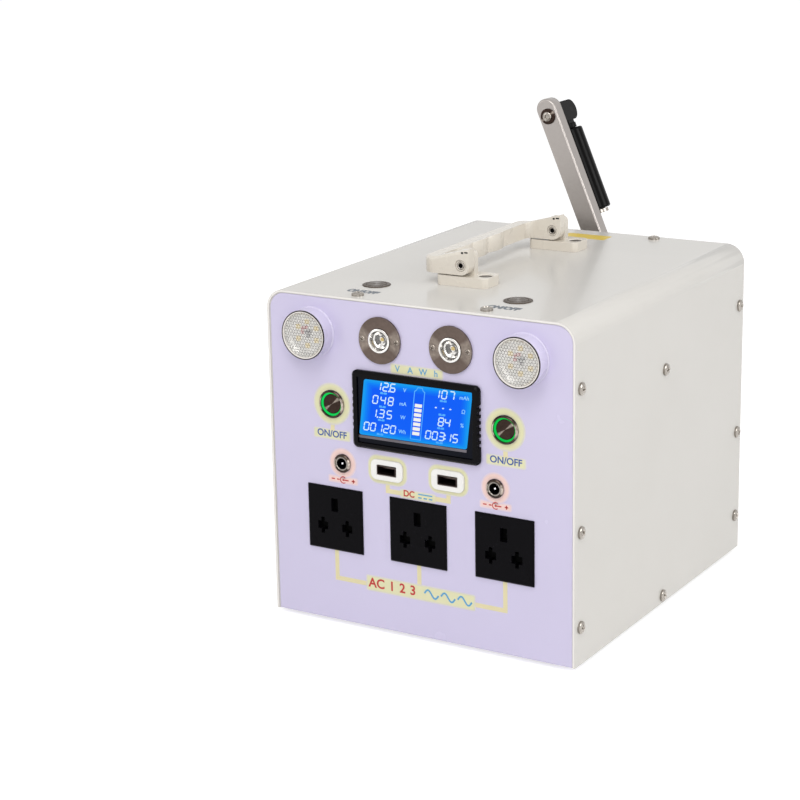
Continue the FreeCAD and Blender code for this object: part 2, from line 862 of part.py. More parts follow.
def domed_disc(radius, low, high, crown):
    """A disc whose upper face rises to a shallow dome in its middle."""
    rim = Vector(radius, 0, high)
    apex = Vector(0, 0, high + crown)
    ball_radius = (radius**2 + crown**2) / (2 * crown)
    half_angle = math.asin(radius / ball_radius) / 2
    fall = ball_radius * (1 - math.cos(half_angle))
    on_dome = Vector(ball_radius * math.sin(half_angle), 0, high + crown - fall)
    outline = [
        Part.LineSegment(Vector(0, 0, low), Vector(radius, 0, low)).toShape(),
        Part.LineSegment(Vector(radius, 0, low), rim).toShape(),
        Part.Arc(rim, on_dome, apex).toShape(),
        Part.LineSegment(apex, Vector(0, 0, low)).toShape(),
    ]
    return Part.Face(Part.Wire(outline)).revolve(Vector(0, 0, 0), Z_AXIS, 360)


def lens_lamp_lens():
    radius = lens_lamp_radius - lens_lamp_lip - lens_radius_play
    low = lens_lamp_length - lens_lamp_recess
    return domed_disc(radius, low, lens_lamp_length - lens_crown, lens_crown)


def spot_lamp_body():
    flange = rod_z(spot_flange_radius, 0, 0, 0, spot_flange_wall)
    ring = rod_z(spot_ring_radius, 0, 0, spot_flange_wall, spot_flange_wall + spot_ring_height)
    barrel = rod_z(spot_body_radius, 0, 0, -spot_body_depth, 0)
    top = spot_flange_wall + spot_ring_height
    cuts = [rod_z(spot_bore_radius, 0, 0, top - spot_recess, top + over)]
    for x in (-spot_screw_pitch / 2, spot_screw_pitch / 2):
        cuts.append(rod_z(spot_screw_hole_radius, x, 0, -over, spot_flange_wall + over))
    return joined(flange, ring, barrel).cut(cuts)


def spot_lamp_lens():
    top = spot_flange_wall + spot_ring_height
    rim = top - spot_lens_inset - spot_lens_crown
    return domed_disc(spot_bore_radius - spot_lens_play, top - spot_recess, rim, spot_lens_crown)


# ---------------------------------------------------------------------------------------------
# Carry handle
# ---------------------------------------------------------------------------------------------


def handle_foot(front_y):
    """A plate on the case with one upright lug, which the handle's arm stands in front of."""
    middle_y = front_y + handle_foot_width / 2
    plate_top = case_top + handle_foot_wall
    length, width = handle_foot_length, handle_foot_width
    plate = tile_z(length, width, handle_foot_corner, 0, middle_y, case_top, plate_top)
    lug_front = front_y + handle_arm_wall + lug_gap
    lug_rear = lug_front + lug_wall
    lug = arch(lug_half_width, case_top, handle_pivot_z + lug_rise, lug_corner, lug_front, lug_rear)
    cuts = [rod_y(pivot_pin_radius, 0, handle_pivot_z, lug_front - over, lug_rear + over)]
    radius = foot_screw_radius + foot_screw_play
    head_radius = foot_screw_head_radius + foot_screw_play
    head_low = plate_top - foot_screw_head_height
    for x in (-foot_screw_pitch / 2, foot_screw_pitch / 2):
        cuts.append(rod_z(radius, x, middle_y, case_top - over, plate_top))
        cuts.append(cone_z(radius, head_radius, x, middle_y, head_low, plate_top))
    return joined(plate, lug).cut(cuts)


def handle_foot_screws():
    screws = []
    plate_top = case_top + handle_foot_wall
    head_low = plate_top - foot_screw_head_height
    shank_low = case_top - shell_wall - foot_screw_reach
    for x, y in foot_screw_places():
        shank = rod_z(foot_screw_radius, x, y, shank_low, head_low)
        head_high = plate_top - foot_screw_play
        head = cone_z(foot_screw_radius, foot_screw_head_radius, x, y, head_low, head_high)
        screws.append(joined(shank, head))
    return group(screws)


def handle_plan(z):
    """The handle seen from above, lying to the left of its pivots: a U with a bumped grip."""
    front = handle_front_foot_y
    rear = handle_rear_foot_y + handle_arm_wall
    middle = (front + rear) / 2
    tip = handle_arm_end
    outer_x = -handle_grip_reach
    corner = handle_corner
    k = corner * (1 - math.sqrt(0.5))
    outer = [
        Part.LineSegment(Vector(tip, front, z), Vector(outer_x + corner, front, z)),
        Part.Arc(
            Vector(outer_x + corner, front, z),
            Vector(outer_x + k, front + k, z),
            Vector(outer_x, front + corner, z),
        ),
        Part.LineSegment(Vector(outer_x, front + corner, z), Vector(outer_x, rear - corner, z)),
        Part.Arc(
            Vector(outer_x, rear - corner, z),
            Vector(outer_x + k, rear - k, z),
            Vector(outer_x + corner, rear, z),
        ),
        Part.LineSegment(Vector(outer_x + corner, rear, z), Vector(tip, rear, z)),
        Part.LineSegment(Vector(tip, rear, z), Vector(tip, rear - handle_arm_wall, z)),
    ]
    inner_x = outer_x + handle_grip_wall
    radius = handle_inner_corner
    bend = radius * (1 - math.sqrt(0.5))
    rear_inner = rear - handle_arm_wall
    front_inner = front + handle_arm_wall
    bump_start = middle + bump_shift + bump_count * bump_pitch / 2
    inner = [
        Part.LineSegment(Vector(tip, rear_inner, z), Vector(inner_x + radius, rear_inner, z)),
        Part.Arc(
            Vector(inner_x + radius, rear_inner, z),
            Vector(inner_x + bend, rear_inner - bend, z),
            Vector(inner_x, rear_inner - radius, z),
        ),
        Part.LineSegment(Vector(inner_x, rear_inner - radius, z), Vector(inner_x, bump_start, z)),
    ]
    for number in range(bump_count):
        start = bump_start - number * bump_pitch
        inner.append(
            Part.Arc(
                Vector(inner_x, start, z),
                Vector(inner_x + bump_height, start - bump_pitch / 2, z),
                Vector(inner_x, start - bump_pitch, z),
            )
        )
    bump_end = bump_start - bump_count * bump_pitch
    inner += [
        Part.LineSegment(Vector(inner_x, bump_end, z), Vector(inner_x, front_inner + radius, z)),
        Part.Arc(
            Vector(inner_x, front_inner + radius, z),
            Vector(inner_x + bend, front_inner + bend, z),
            Vector(inner_x + radius, front_inner, z),
        ),
        Part.LineSegment(Vector(inner_x + radius, front_inner, z), Vector(tip, front_inner, z)),
        Part.LineSegment(Vector(tip, front_inner, z), Vector(tip, front, z)),
    ]
    return [curve.toShape() for curve in outer + inner]


def handle_side_profile(y):
    """The handle seen from the front: arms that rise towards the pivot, with a round heel under it."""
    low = handle_pivot_z - handle_arm_drop
    grip_top = handle_pivot_z + handle_grip_rise
    arm_top = handle_pivot_z + handle_arm_rise
    left = -handle_grip_reach - over
    tip = handle_arm_end
    heel = handle_heel
    k = heel * (1 - math.sqrt(0.5))
    slope_start = handle_corner - handle_grip_reach + over
    heel_start, heel_end = Vector(tip - heel, y, low), Vector(tip, y, low + heel)
    return [
        Part.LineSegment(Vector(left, y, low), heel_start).toShape(),
        Part.Arc(heel_start, Vector(tip - k, y, low + k), heel_end).toShape(),
        Part.LineSegment(heel_end, Vector(tip, y, arm_top)).toShape(),
        Part.LineSegment(Vector(tip, y, arm_top), Vector(slope_start, y, grip_top)).toShape(),
        Part.LineSegment(Vector(slope_start, y, grip_top), Vector(left, y, grip_top)).toShape(),
        Part.LineSegment(Vector(left, y, grip_top), Vector(left, y, low)).toShape(),
    ]


def outer_upper_edges(handle):
    """Edges along the top of the handle's outer wall."""
    grip_top = handle_pivot_z + handle_grip_rise
    rear = handle_rear_foot_y + handle_arm_wall
    along = []
    for edge in handle.Edges:
        box = edge.BoundBox
        on_top = box.ZMin > grip_top - near
        on_corner = box.XMax < -handle_grip_reach + handle_corner + near
        on_front = on_corner and box.YMax < handle_front_foot_y + handle_corner + near
        on_rear = on_corner and box.YMin > rear - handle_corner - near
        on_grip = box.XMax < -handle_grip_reach + near
        on_arm = box.YMax < handle_front_foot_y + near or box.YMin > rear - near
        if on_top and (on_front or on_rear or on_grip or on_arm):
            along.append(edge)
    return along


def carry_handle():
    """One moulding: the plan outline drawn up through the side profile."""
    front = handle_front_foot_y
    rear = handle_rear_foot_y + handle_arm_wall
    low = handle_pivot_z - handle_arm_drop
    plan = Part.Face(Part.Wire(handle_plan(low - over)))
    plan = plan.extrude(Vector(0, 0, handle_arm_drop + handle_arm_rise + 2 * over))
    side = Part.Face(Part.Wire(handle_side_profile(front - over)))
    side = side.extrude(Vector(0, rear - front + 2 * over, 0))
    handle = plan.common(side)
    handle = handle.makeFillet(handle_edge, outer_upper_edges(handle))
    bores = []
    for arm_front in (front, rear - handle_arm_wall):
        start = arm_front - over
        radius = pivot_pin_radius + running_play
        bores.append(rod_y(radius, 0, handle_pivot_z, start, arm_front + handle_arm_wall + over))
        head_radius = pivot_pin_head_radius + pivot_head_play
        head_end = arm_front + pivot_pin_head_height + pivot_head_play
        bores.append(rod_y(head_radius, 0, handle_pivot_z, start, head_end))
    return handle.cut(bores)


def handle_pivot_pins():
    """Shouldered pins, held in the lugs, that the arms turn on."""
    pins = []
    for front_y in (handle_front_foot_y, handle_rear_foot_y):
        pin_end = front_y + handle_arm_wall + lug_gap + lug_wall
        pin = rod_y(pivot_pin_radius, 0, handle_pivot_z, front_y + pivot_pin_head_height, pin_end)
        head = rod_y(pivot_pin_head_radius, 0, handle_pivot_z, front_y, front_y + pivot_pin_head_height)
        pins.append(joined(pin, head))
    return group(pins)


# ---------------------------------------------------------------------------------------------
# Crank, drawn pointing straight up and then leaned over
# ---------------------------------------------------------------------------------------------


def leaned(shape):
    placed = shape.copy()
    placed.rotate(Vector(0, 0, shaft_height), Y_AXIS, -crank_lean)
    return placed


def obround_y(width, tall, x, z, y_low, y_high):
    """A plate with half-round ends that stands across Y."""
    half = width / 2
    reach = tall / 2 - half
    straight = block(x - half, x + half, y_low, y_high, z - reach, z + reach)
    ends = [rod_y(half, x, z + rise, y_low, y_high) for rise in (-reach, reach)]
    return joined(straight, *ends)


def crank_arm():
    """A pressed channel, open to the rear, whose rim runs round both of its round ends."""
    low = shaft_height - arm_bottom_reach
    high = knuckle_height + arm_top_reach
    middle = (low + high) / 2
    rear = arm_face + arm_channel_depth
    inner_face = arm_face + arm_metal
    pan = obround_y(arm_width, high - low, 0, middle, arm_face, rear)
    pan = pan.makeFillet(arm_bend, edges_on_plane_y(pan, arm_face))
    rims = 2 * arm_metal
    hollow = obround_y(arm_width - rims, high - low - rims, 0, middle, inner_face, rear + over)
    holes = [
        rod_y(shaft_radius, 0, shaft_height, arm_face - over, inner_face),
        rod_y(knuckle_screw_radius, 0, knuckle_height, arm_face - over, inner_face),
    ]
    return leaned(pan.cut([hollow, *holes]))


def crank_hub():
    front = bearing_face + bush_collar_wall + hub_clearance
    hub = rod_y(hub_radius, 0, shaft_height, front, arm_face)
    return leaned(hub.cut(rod_y(shaft_radius, 0, shaft_height, front - over, arm_face + over)))


def crank_shaft():
    front = gearbox_front_plate_front - bush_collar_wall - hub_clearance
    shaft = rod_y(shaft_radius, 0, shaft_height, front, arm_face + arm_metal)
    hole_front = arm_face - hub_screw_depth
    return shaft.cut(rod_y(hub_screw_radius, 0, shaft_height, hole_front, arm_face + arm_metal + over))


def crank_hub_screw():
    face = arm_face + arm_metal
    washer_rear = face + hub_washer_wall
    washer_radius = arm_width / 2 - arm_metal - hub_washer_play
    washer = rod_y(washer_radius, 0, shaft_height, face, washer_rear)
    head = rod_y(hub_screw_head_radius, 0, shaft_height, washer_rear, washer_rear + hub_screw_head_height)
    shank = rod_y(hub_screw_radius, 0, shaft_height, arm_face - hub_screw_depth, face)
    return joined(washer, head, shank)


def knuckle_bracket():
    """A block in the channel's end whose two cheeks hold the grip's hinge pin behind the arm."""
    seat = arm_face + arm_metal
    inner = arm_width / 2 - arm_metal - knuckle_seat_play
    half = knuckle_half_width
    low, high = knuckle_height - knuckle_radius, knuckle_height + knuckle_radius
    neck_front = arm_face + arm_channel_depth + knuckle_seat_play
    cheeks = rod_x(knuckle_radius, hinge_axis_y, knuckle_height, -half, half)
    neck = block(-half, half, neck_front, hinge_axis_y, low, high)
    plug = block(-inner, inner, seat, neck_front, low, knuckle_height + knuckle_plug_rise)
    slot_half = tongue_half_width + tongue_gap
    slot_front = hinge_axis_y - tongue_radius - tongue_throat
    slot_rear = hinge_axis_y + knuckle_radius + over
    slot = block(-slot_half, slot_half, slot_front, slot_rear, low - over, high + over)
    pin_hole = rod_x(hinge_pin_radius, hinge_axis_y, knuckle_height, -half - over, half + over)
    screw_end = seat + knuckle_screw_depth
    screw_hole = rod_y(knuckle_screw_radius, 0, knuckle_height, seat - over, screw_end)
    return leaned(joined(cheeks, neck, plug).cut([slot, pin_hole, screw_hole]))


def knuckle_screw():
    washer_front = arm_face - knuckle_washer_wall
    head_front = washer_front - knuckle_screw_head_height
    shank_end = arm_face + arm_metal + knuckle_screw_depth
    washer = rod_y(knuckle_washer_radius, 0, knuckle_height, washer_front, arm_face)
    head = rod_y(knuckle_screw_head_radius, 0, knuckle_height, head_front, washer_front)
    shank = rod_y(knuckle_screw_radius, 0, knuckle_height, arm_face, shank_end)
    return leaned(joined(washer, head, shank))


def grip_hinge_pin():
    half = knuckle_half_width
    return leaned(rod_x(hinge_pin_radius, hinge_axis_y, knuckle_height, -half, half))


def grip_spindle():
    """A round tongue between the cheeks and a rod that the grip turns on, folded down along the arm."""
    half = tongue_half_width
    collar_low = knuckle_height - grip_start + grip_end_play
    collar_high = collar_low + spindle_collar_length
    rod_low = knuckle_height - grip_start - grip_length - grip_end_play
    root_front, root_rear = hinge_axis_y - spindle_root_half, hinge_axis_y + spindle_root_half
    tongue = rod_x(tongue_radius, hinge_axis_y, knuckle_height, -half, half)
    root = block(-half, half, root_front, root_rear, collar_low, knuckle_height)
    collar = rod_z(spindle_collar_radius, 0, hinge_axis_y, collar_low, collar_high)
    rod = rod_z(spindle_radius, 0, hinge_axis_y, rod_low, collar_low)
    bore_radius = hinge_pin_radius + running_play
    bore = rod_x(bore_radius, hinge_axis_y, knuckle_height, -half - over, half + over)
    return leaned(joined(tongue, root, collar, rod).cut(bore))


def grip_sleeve():
    high = knuckle_height - grip_start
    low = high - grip_length
    sleeve = rod_z(grip_radius, 0, hinge_axis_y, low, high)
    sleeve = sleeve.makeFillet(grip_edge, edges_on_plane_z(sleeve, low) + edges_on_plane_z(sleeve, high))
    return leaned(sleeve.cut(rod_z(spindle_radius + running_play, 0, hinge_axis_y, low - over, high + over)))


def grip_end_screw():
    high = knuckle_height - grip_start - grip_length - grip_end_play
    return leaned(rod_z(grip_screw_radius, 0, hinge_axis_y, high - grip_screw_wall, high))


# ---------------------------------------------------------------------------------------------
# Crank bearing, gearbox and gears
# ---------------------------------------------------------------------------------------------


def bearing_flange():
    flange = rod_y(bearing_flange_radius, 0, shaft_height, rear_face, bearing_face)
    flange = flange.makeChamfer(bearing_flange_edge, edges_on_plane_y(flange, bearing_face))
    return flange.cut(rod_y(shaft_radius + bush_wall, 0, shaft_height, rear_face - over, bearing_face + over))


def bush(radius, x, z, inner_y, outer_y):
    """A flanged bronze bush; its collar is on the outer_y end."""
    direction = 1 if outer_y > inner_y else -1
    low, high = sorted((inner_y, outer_y))
    sleeve = rod_y(radius + bush_wall, x, z, low, high)
    low, high = sorted((outer_y, outer_y + direction * bush_collar_wall))
    collar = rod_y(radius + bush_wall + bush_collar_rim, x, z, low, high)
    low, high = sorted((inner_y - direction * over, outer_y + direction * (bush_collar_wall + over)))
    return joined(sleeve, collar).cut(rod_y(radius + running_play, x, z, low, high))


def crank_bushes():
    in_flange = bush(shaft_radius, 0, shaft_height, rear_face, bearing_face)
    in_plate = bush(shaft_radius, 0, shaft_height, gearbox_front_plate_rear, gearbox_front_plate_front)
    return group([in_flange, in_plate])


def idler_bushes():
    """Plain bushes, pressed into the gearbox plates."""
    bushes = []
    radius = idler_shaft_radius + running_play
    for low in (gearbox_front_plate_front, gearbox_rear_plate_front):
        high = low + gearbox_plate_wall
        ring = rod_y(idler_shaft_radius + bush_wall, idler_x, idler_height, low, high)
        bushes.append(ring.cut(rod_y(radius, idler_x, idler_height, low - over, high + over)))
    return group(bushes)


def involute_point(base_radius, radius, turn):
    """A point at this radius on an involute that leaves its base circle at the angle turn."""
    angle = math.sqrt((radius / base_radius) ** 2 - 1)
    polar = turn + angle - math.atan(angle)
    return radius * math.cos(polar), radius * math.sin(polar)


def gear_outline(module, teeth):
    """Edges of a spur gear in the XZ plane about the origin, with one tooth centred on +X."""
    pitch = module * teeth / 2
    base = pitch * math.cos(math.radians(pressure_angle))
    tip = pitch + tooth_addendum * module
    root = pitch - tooth_dedendum * module
    start = max(base, root)
    roll = math.sqrt((pitch / base) ** 2 - 1)
    half_tooth = (math.pi * module - tooth_backlash) / 4 / pitch
    turn = -(half_tooth + roll - math.atan(roll))
    radii = (start, (start + tip) / 2, tip)
    lower = [involute_point(base, radius, turn) for radius in radii]
    upper = [(x, -z) for x, z in reversed(lower)]
    root_angle = math.atan2(lower[0][1], lower[0][0])
    lower_root = (root * math.cos(root_angle), root * math.sin(root_angle))
    upper_root = (lower_root[0], -lower_root[1])

    def turned(point, number):
        angle = 2 * math.pi * number / teeth
        x, z = point
        turned_x = x * math.cos(angle) - z * math.sin(angle)
        return Vector(turned_x, 0, x * math.sin(angle) + z * math.cos(angle))

    edges = []
    for number in range(teeth):
        flank = [turned(p, number) for p in lower]
        back = [turned(p, number) for p in upper]
        foot, heel = turned(lower_root, number), turned(upper_root, number)
        next_foot = turned(lower_root, number + 1)
        if root < start:
            edges.append(Part.LineSegment(foot, flank[0]).toShape())
        edges.append(Part.Arc(*flank).toShape())
        edges.append(Part.LineSegment(flank[2], back[0]).toShape())
        edges.append(Part.Arc(*back).toShape())
        if root < start:
            edges.append(Part.LineSegment(back[2], heel).toShape())
        edges.append(Part.LineSegment(heel, next_foot).toShape())
    return edges


def gear(module, teeth, phase, x, z, y_low, width):
    """A spur gear whose tooth centred at the angle phase, from +X towards +Z."""
    face = Part.Face(Part.Wire(gear_outline(module, teeth)))
    face.rotate(Vector(0, 0, 0), Y_AXIS, -phase)
    face.translate(Vector(x, y_low, z))
    return face.extrude(Vector(0, width, 0))


def crank_gear():
    """The big spur wheel on the crank shaft, recessed to a web between its rim and hub."""
    high = gearbox_rear_plate_front - gear_side_room
    low = high - crank_gear_width
    wheel = gear(first_module, wheel_teeth, idler_angle, 0, shaft_height, low, crank_gear_width)
    root = first_module * (wheel_teeth / 2 - tooth_dedendum)
    recess_depth = (crank_gear_width - web_wall) / 2
    cuts = [rod_y(shaft_radius, 0, shaft_height, low - over, high + over)]
    for start in (low, high - recess_depth):
        ring = rod_y(root - web_rim, 0, shaft_height, start, start + recess_depth)
        cuts.append(ring.cut(rod_y(crank_gear_hub_radius, 0, shaft_height, start, start + recess_depth)))
    return wheel.cut(cuts)


def idler_gears():
    """A wheel and a pinion cut from one piece, on a shaft between the gearbox plates."""
    high = gearbox_rear_plate_front - gear_side_room + pinion_overhang
    pinion_low = high - idler_pinion_width
    opposite = idler_angle + 180 + 180 / pinion_teeth
    pinion = gear(first_module, pinion_teeth, opposite, idler_x, idler_height, pinion_low, idler_pinion_width)
    low = gearbox_front_plate_rear + gear_side_room
    wheel = gear(second_module, wheel_teeth, generator_angle, idler_x, idler_height, low, idler_wheel_width)
    neck = rod_y(idler_collar_radius, idler_x, idler_height, low + idler_wheel_width, pinion_low)
    bore = rod_y(idler_shaft_radius, idler_x, idler_height, low - over, high + over)
    return joined(wheel, neck, pinion).cut(bore)


def idler_shaft():
    low, high = gearbox_front_plate_front, rear_inside - idler_shaft_end
    return rod_y(idler_shaft_radius, idler_x, idler_height, low, high)


def generator_pinion():
    low = gearbox_front_plate_rear + gear_side_room - pinion_lead
    opposite = generator_angle + 180 + 180 / pinion_teeth
    x, z = generator_x, generator_height
    pinion = gear(second_module, pinion_teeth, opposite, x, z, low, generator_pinion_width)
    end = low + generator_pinion_width
    return pinion.cut(rod_y(rotor_shaft_radius, generator_x, generator_height, low - over, end + over))


def gearbox_plate(y_low):
    width = gearbox_right - gearbox_left
    x = (gearbox_left + gearbox_right) / 2
    z = (gearbox_low + gearbox_high) / 2
    y_high = y_low + gearbox_plate_wall
    plate = tile_y(width, gearbox_tall, gearbox_corner, x, z, y_low, y_high)
    bores = [
        rod_y(idler_shaft_radius + bush_wall, idler_x, idler_height, y_low - over, y_high + over),
        rod_y(shaft_radius + bush_wall, 0, shaft_height, y_low - over, y_high + over),
    ]
    return plate.cut(bores)


def gearbox_rear_plate():
    return gearbox_plate(gearbox_rear_plate_front)


def gearbox_front_plate():
    low, high = gearbox_front_plate_front - over, gearbox_front_plate_rear + over
    seat = rod_y(rotor_bearing_radius, generator_x, generator_height, low, high)
    return gearbox_plate(gearbox_front_plate_front).cut(seat)


def gearbox_posts():
    posts = []
    for x in (gearbox_left + post_inset, gearbox_right - post_inset):
        for z in (gearbox_low + post_inset, gearbox_high - post_inset):
            posts.append(rod_y(post_radius, x, z, gearbox_front_plate_rear, gearbox_rear_plate_front))
    return group(posts)


# ---------------------------------------------------------------------------------------------
# Generator
# ---------------------------------------------------------------------------------------------


def generator_rod(radius, y_low, y_high):
    return rod_y(radius, generator_x, generator_height, y_low, y_high)


def generator_can():
    """A deep-drawn steel can, closed at the gearbox end round the rotor's bearing."""
    rear = gearbox_front_plate_front
    front = rear - generator_length
    can = generator_rod(generator_radius, front, rear)
    nose = generator_rod(rotor_bearing_radius, rear, rear + generator_nose)
    hollow = generator_rod(generator_radius - generator_can_wall, front - over, rear - generator_can_wall)
    bore = generator_rod(rotor_shaft_radius + running_play, front - over, rear + generator_nose + over)
    return joined(can, nose).cut([hollow, bore])


def generator_end_cap():
    front = gearbox_front_plate_front - generator_length
    rear = front + generator_cap_wall
    cap = generator_rod(generator_radius - generator_can_wall, front, rear)
    boss = generator_rod(rotor_bearing_radius, front - generator_cap_boss, front)
    bore = generator_rod(rotor_shaft_radius + running_play, front - rotor_bore_end, rear + over)
    return joined(cap, boss).cut(bore)


def generator_rotor():
    front = gearbox_front_plate_front - generator_length
    middle = gearbox_front_plate_front - generator_length / 2
    core = generator_rod(rotor_radius, middle - rotor_length / 2, middle + rotor_length / 2)
    pinion_end = gearbox_front_plate_rear + gear_side_room - pinion_lead + generator_pinion_width
    return joined(core, generator_rod(rotor_shaft_radius, front - rotor_shaft_end, pinion_end))


# ---------------------------------------------------------------------------------------------
# Battery and electronics
# ---------------------------------------------------------------------------------------------

def battery_cells():
    cells = []
    for number in range(cell_count):
        left = pack_x - pack_width / 2 + number * (cell_width + cell_gap)
        can = block(left, left + cell_width, pack_front, pack_rear, pack_low, pack_high)
        lengthwise = [e for e in can.Edges if e.BoundBox.YLength > cell_length / 2]
        can = can.makeFillet(cell_edge, lengthwise)
        for place in terminal_places:
            z = pack_low + place * cell_tall
            end = pack_front - terminal_height
            can = joined(can, rod_y(terminal_radius, left + cell_width / 2, z, end, pack_front))
        cells.append(can)
    return group(cells)


def battery_tray():
    """A sheet tray, open at the front for the cells' terminals."""
    inner = pack_width / 2 + tray_play
    outer = inner + tray_wall
    front = pack_front - tray_front_room
    lip = pack_low + tray_lip
    tray = block(pack_x - outer, pack_x + outer, front, pack_rear + tray_wall, base_top, lip)
    return tray.cut(block(pack_x - inner, pack_x + inner, front - over, pack_rear, pack_low, lip + over))


def battery_strap():
    inner = pack_width / 2 + tray_play + tray_wall
    outer = inner + strap_wall
    front = battery_rear_shift + strap_front_shift
    rear = front + strap_width
    under = pack_high + strap_play
    strap = block(pack_x - outer, pack_x + outer, front, rear, base_top, under + strap_wall)
    return strap.cut(block(pack_x - inner, pack_x + inner, front - over, rear + over, base_top - over, under))


def board_corners(x_low, x_high, y_half):
    inset = standoff_inset
    return [(x, y) for x in (x_low + inset, x_high - inset) for y in (inset - y_half, y_half - inset)]


def inverter_board():
    return block(-inverter_x, inverter_x, -inverter_y, inverter_y, inverter_top - board_wall, inverter_top)


def inverter_heatsink():
    """A finned extrusion along the board's right half."""
    left = inverter_x - heatsink_inset - heatsink_width
    half = heatsink_length / 2
    base_high = inverter_top + heatsink_base
    sink = block(left, left + heatsink_width, -half, half, inverter_top, base_high)
    step = (heatsink_width - heatsink_fin_wall) / (heatsink_fins - 1)
    fins = []
    for number in range(heatsink_fins):
        start = left + number * step
        end = start + heatsink_fin_wall
        fins.append(block(start, end, -half, half, inverter_top, inverter_top + heatsink_tall))
    return joined(sink, *fins)


def inverter_transformer():
    middle = transformer_inset - inverter_x
    half, deep = transformer_core_width / 2, transformer_core_depth / 2
    core_high = inverter_top + transformer_core_tall
    core = block(middle - half, middle + half, -deep, deep, inverter_top, core_high)
    half, deep = transformer_coil_width / 2, transformer_coil_depth / 2
    low = inverter_top + (transformer_core_tall - transformer_coil_tall) / 2
    return joined(core, block(middle - half, middle + half, -deep, deep, low, low + transformer_coil_tall))


def charge_board():
    low = base_top + standoff_height
    high = low + board_wall
    board = block(charge_left, charge_right, -charge_y, charge_y, low, high)
    middle = (charge_left + charge_right) / 2
    coil_y = charge_coil_inset - charge_y
    coil = rod_z(charge_coil_radius, middle, coil_y, high, high + charge_coil_tall)
    half = charge_chip_width / 2
    chip_rear = charge_chip_front + charge_chip_width
    chip = block(middle - half, middle + half, charge_chip_front, chip_rear, high, high + charge_chip_tall)
    return joined(board, coil, chip)


def board_standoffs():
    posts = []
    for x, y in board_corners(-inverter_x, inverter_x, inverter_y):
        posts.append(rod_z(standoff_radius, x, y, shelf_top, shelf_top + standoff_height))
    for x, y in board_corners(charge_left, charge_right, charge_y):
        posts.append(rod_z(standoff_radius, x, y, base_top, base_top + standoff_height))
    return group(posts)


# ---------------------------------------------------------------------------------------------
# All nodes
# ---------------------------------------------------------------------------------------------


def all_parts():
    front_cap = button_cap(button_flange_height, button_cap_proud)
    top_cap = button_cap(top_button_flange_height, top_button_cap_proud)
    parts = {
        "outer_shell": outer_shell(),
        "front_panel": front_panel(),
        "rear_panel": rear_panel(),
        "base_plate": base_plate(),
        "rubber_feet": rubber_feet(),
        "case_screws": case_screws(),
        "cross_brace": cross_brace(),
        "ac_socket_left": ac_socket(-socket_pitch),
        "ac_socket_middle": ac_socket(0.0),
        "ac_socket_right": ac_socket(socket_pitch),
        "meter_bezel": meter_bezel(),
        "meter_display": meter_display(),
        "usb_bezels": both_sides(usb_bezel(usb_pitch / 2)),
        "usb_ports": both_sides(usb_port(usb_pitch / 2)),
        "dc_jacks": both_sides(dc_jack(dc_pitch / 2)),
        "button_barrels": button_barrels(),
        "front_button_left": on_front(front_cap, -button_pitch / 2, meter_height),
        "front_button_right": on_front(front_cap, button_pitch / 2, meter_height),
        "top_button_left": on_top(top_cap, -top_button_pitch / 2),
        "top_button_right": on_top(top_cap, top_button_pitch / 2),
        "lens_lamp_housings": both_sides(
            on_front(lens_lamp_housing(), lens_lamp_pitch / 2, lamp_row_height)
        ),
        "lens_lamp_lenses": both_sides(on_front(lens_lamp_lens(), lens_lamp_pitch / 2, lamp_row_height)),
        "spot_lamp_bodies": both_sides(on_front(spot_lamp_body(), spot_lamp_pitch / 2, lamp_row_height)),
        "spot_lamp_lenses": both_sides(on_front(spot_lamp_lens(), spot_lamp_pitch / 2, lamp_row_height)),
        "handle_foot_front": handle_foot(handle_front_foot_y),
        "handle_foot_rear": handle_foot(handle_rear_foot_y),
        "handle_foot_screws": handle_foot_screws(),
        "carry_handle": carry_handle(),
        "handle_pivot_pins": handle_pivot_pins(),
        "crank_shaft": crank_shaft(),
        "crank_hub": crank_hub(),
        "crank_arm": crank_arm(),
        "crank_hub_screw": crank_hub_screw(),
        "knuckle_bracket": knuckle_bracket(),
        "knuckle_screw": knuckle_screw(),
        "grip_hinge_pin": grip_hinge_pin(),
        "grip_spindle": grip_spindle(),
        "grip_sleeve": grip_sleeve(),
        "grip_end_screw": grip_end_screw(),
        "bearing_flange": bearing_flange(),
        "crank_bushes": crank_bushes(),
        "crank_gear": crank_gear(),
        "idler_shaft": idler_shaft(),
        "idler_gears": idler_gears(),
        "idler_bushes": idler_bushes(),
        "gearbox_rear_plate": gearbox_rear_plate(),
        "gearbox_front_plate": gearbox_front_plate(),
        "gearbox_posts": gearbox_posts(),
        "generator_can": generator_can(),
        "generator_end_cap": generator_end_cap(),
        "generator_rotor": generator_rotor(),
        "generator_pinion": generator_pinion(),
        "battery_cells": battery_cells(),
        "battery_tray": battery_tray(),
        "battery_strap": battery_strap(),
        "inverter_board": inverter_board(),
        "inverter_heatsink": inverter_heatsink(),
        "inverter_transformer": inverter_transformer(),
        "charge_board": charge_board(),
        "board_standoffs": board_standoffs(),
    }
    return parts


os.makedirs("parts", exist_ok=True)
for name, shape in all_parts().items():
    shape.exportStep(f"parts/{name}.step")
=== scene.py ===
import bmesh
import bpy
import json
import math
from mathutils import Matrix, Vector

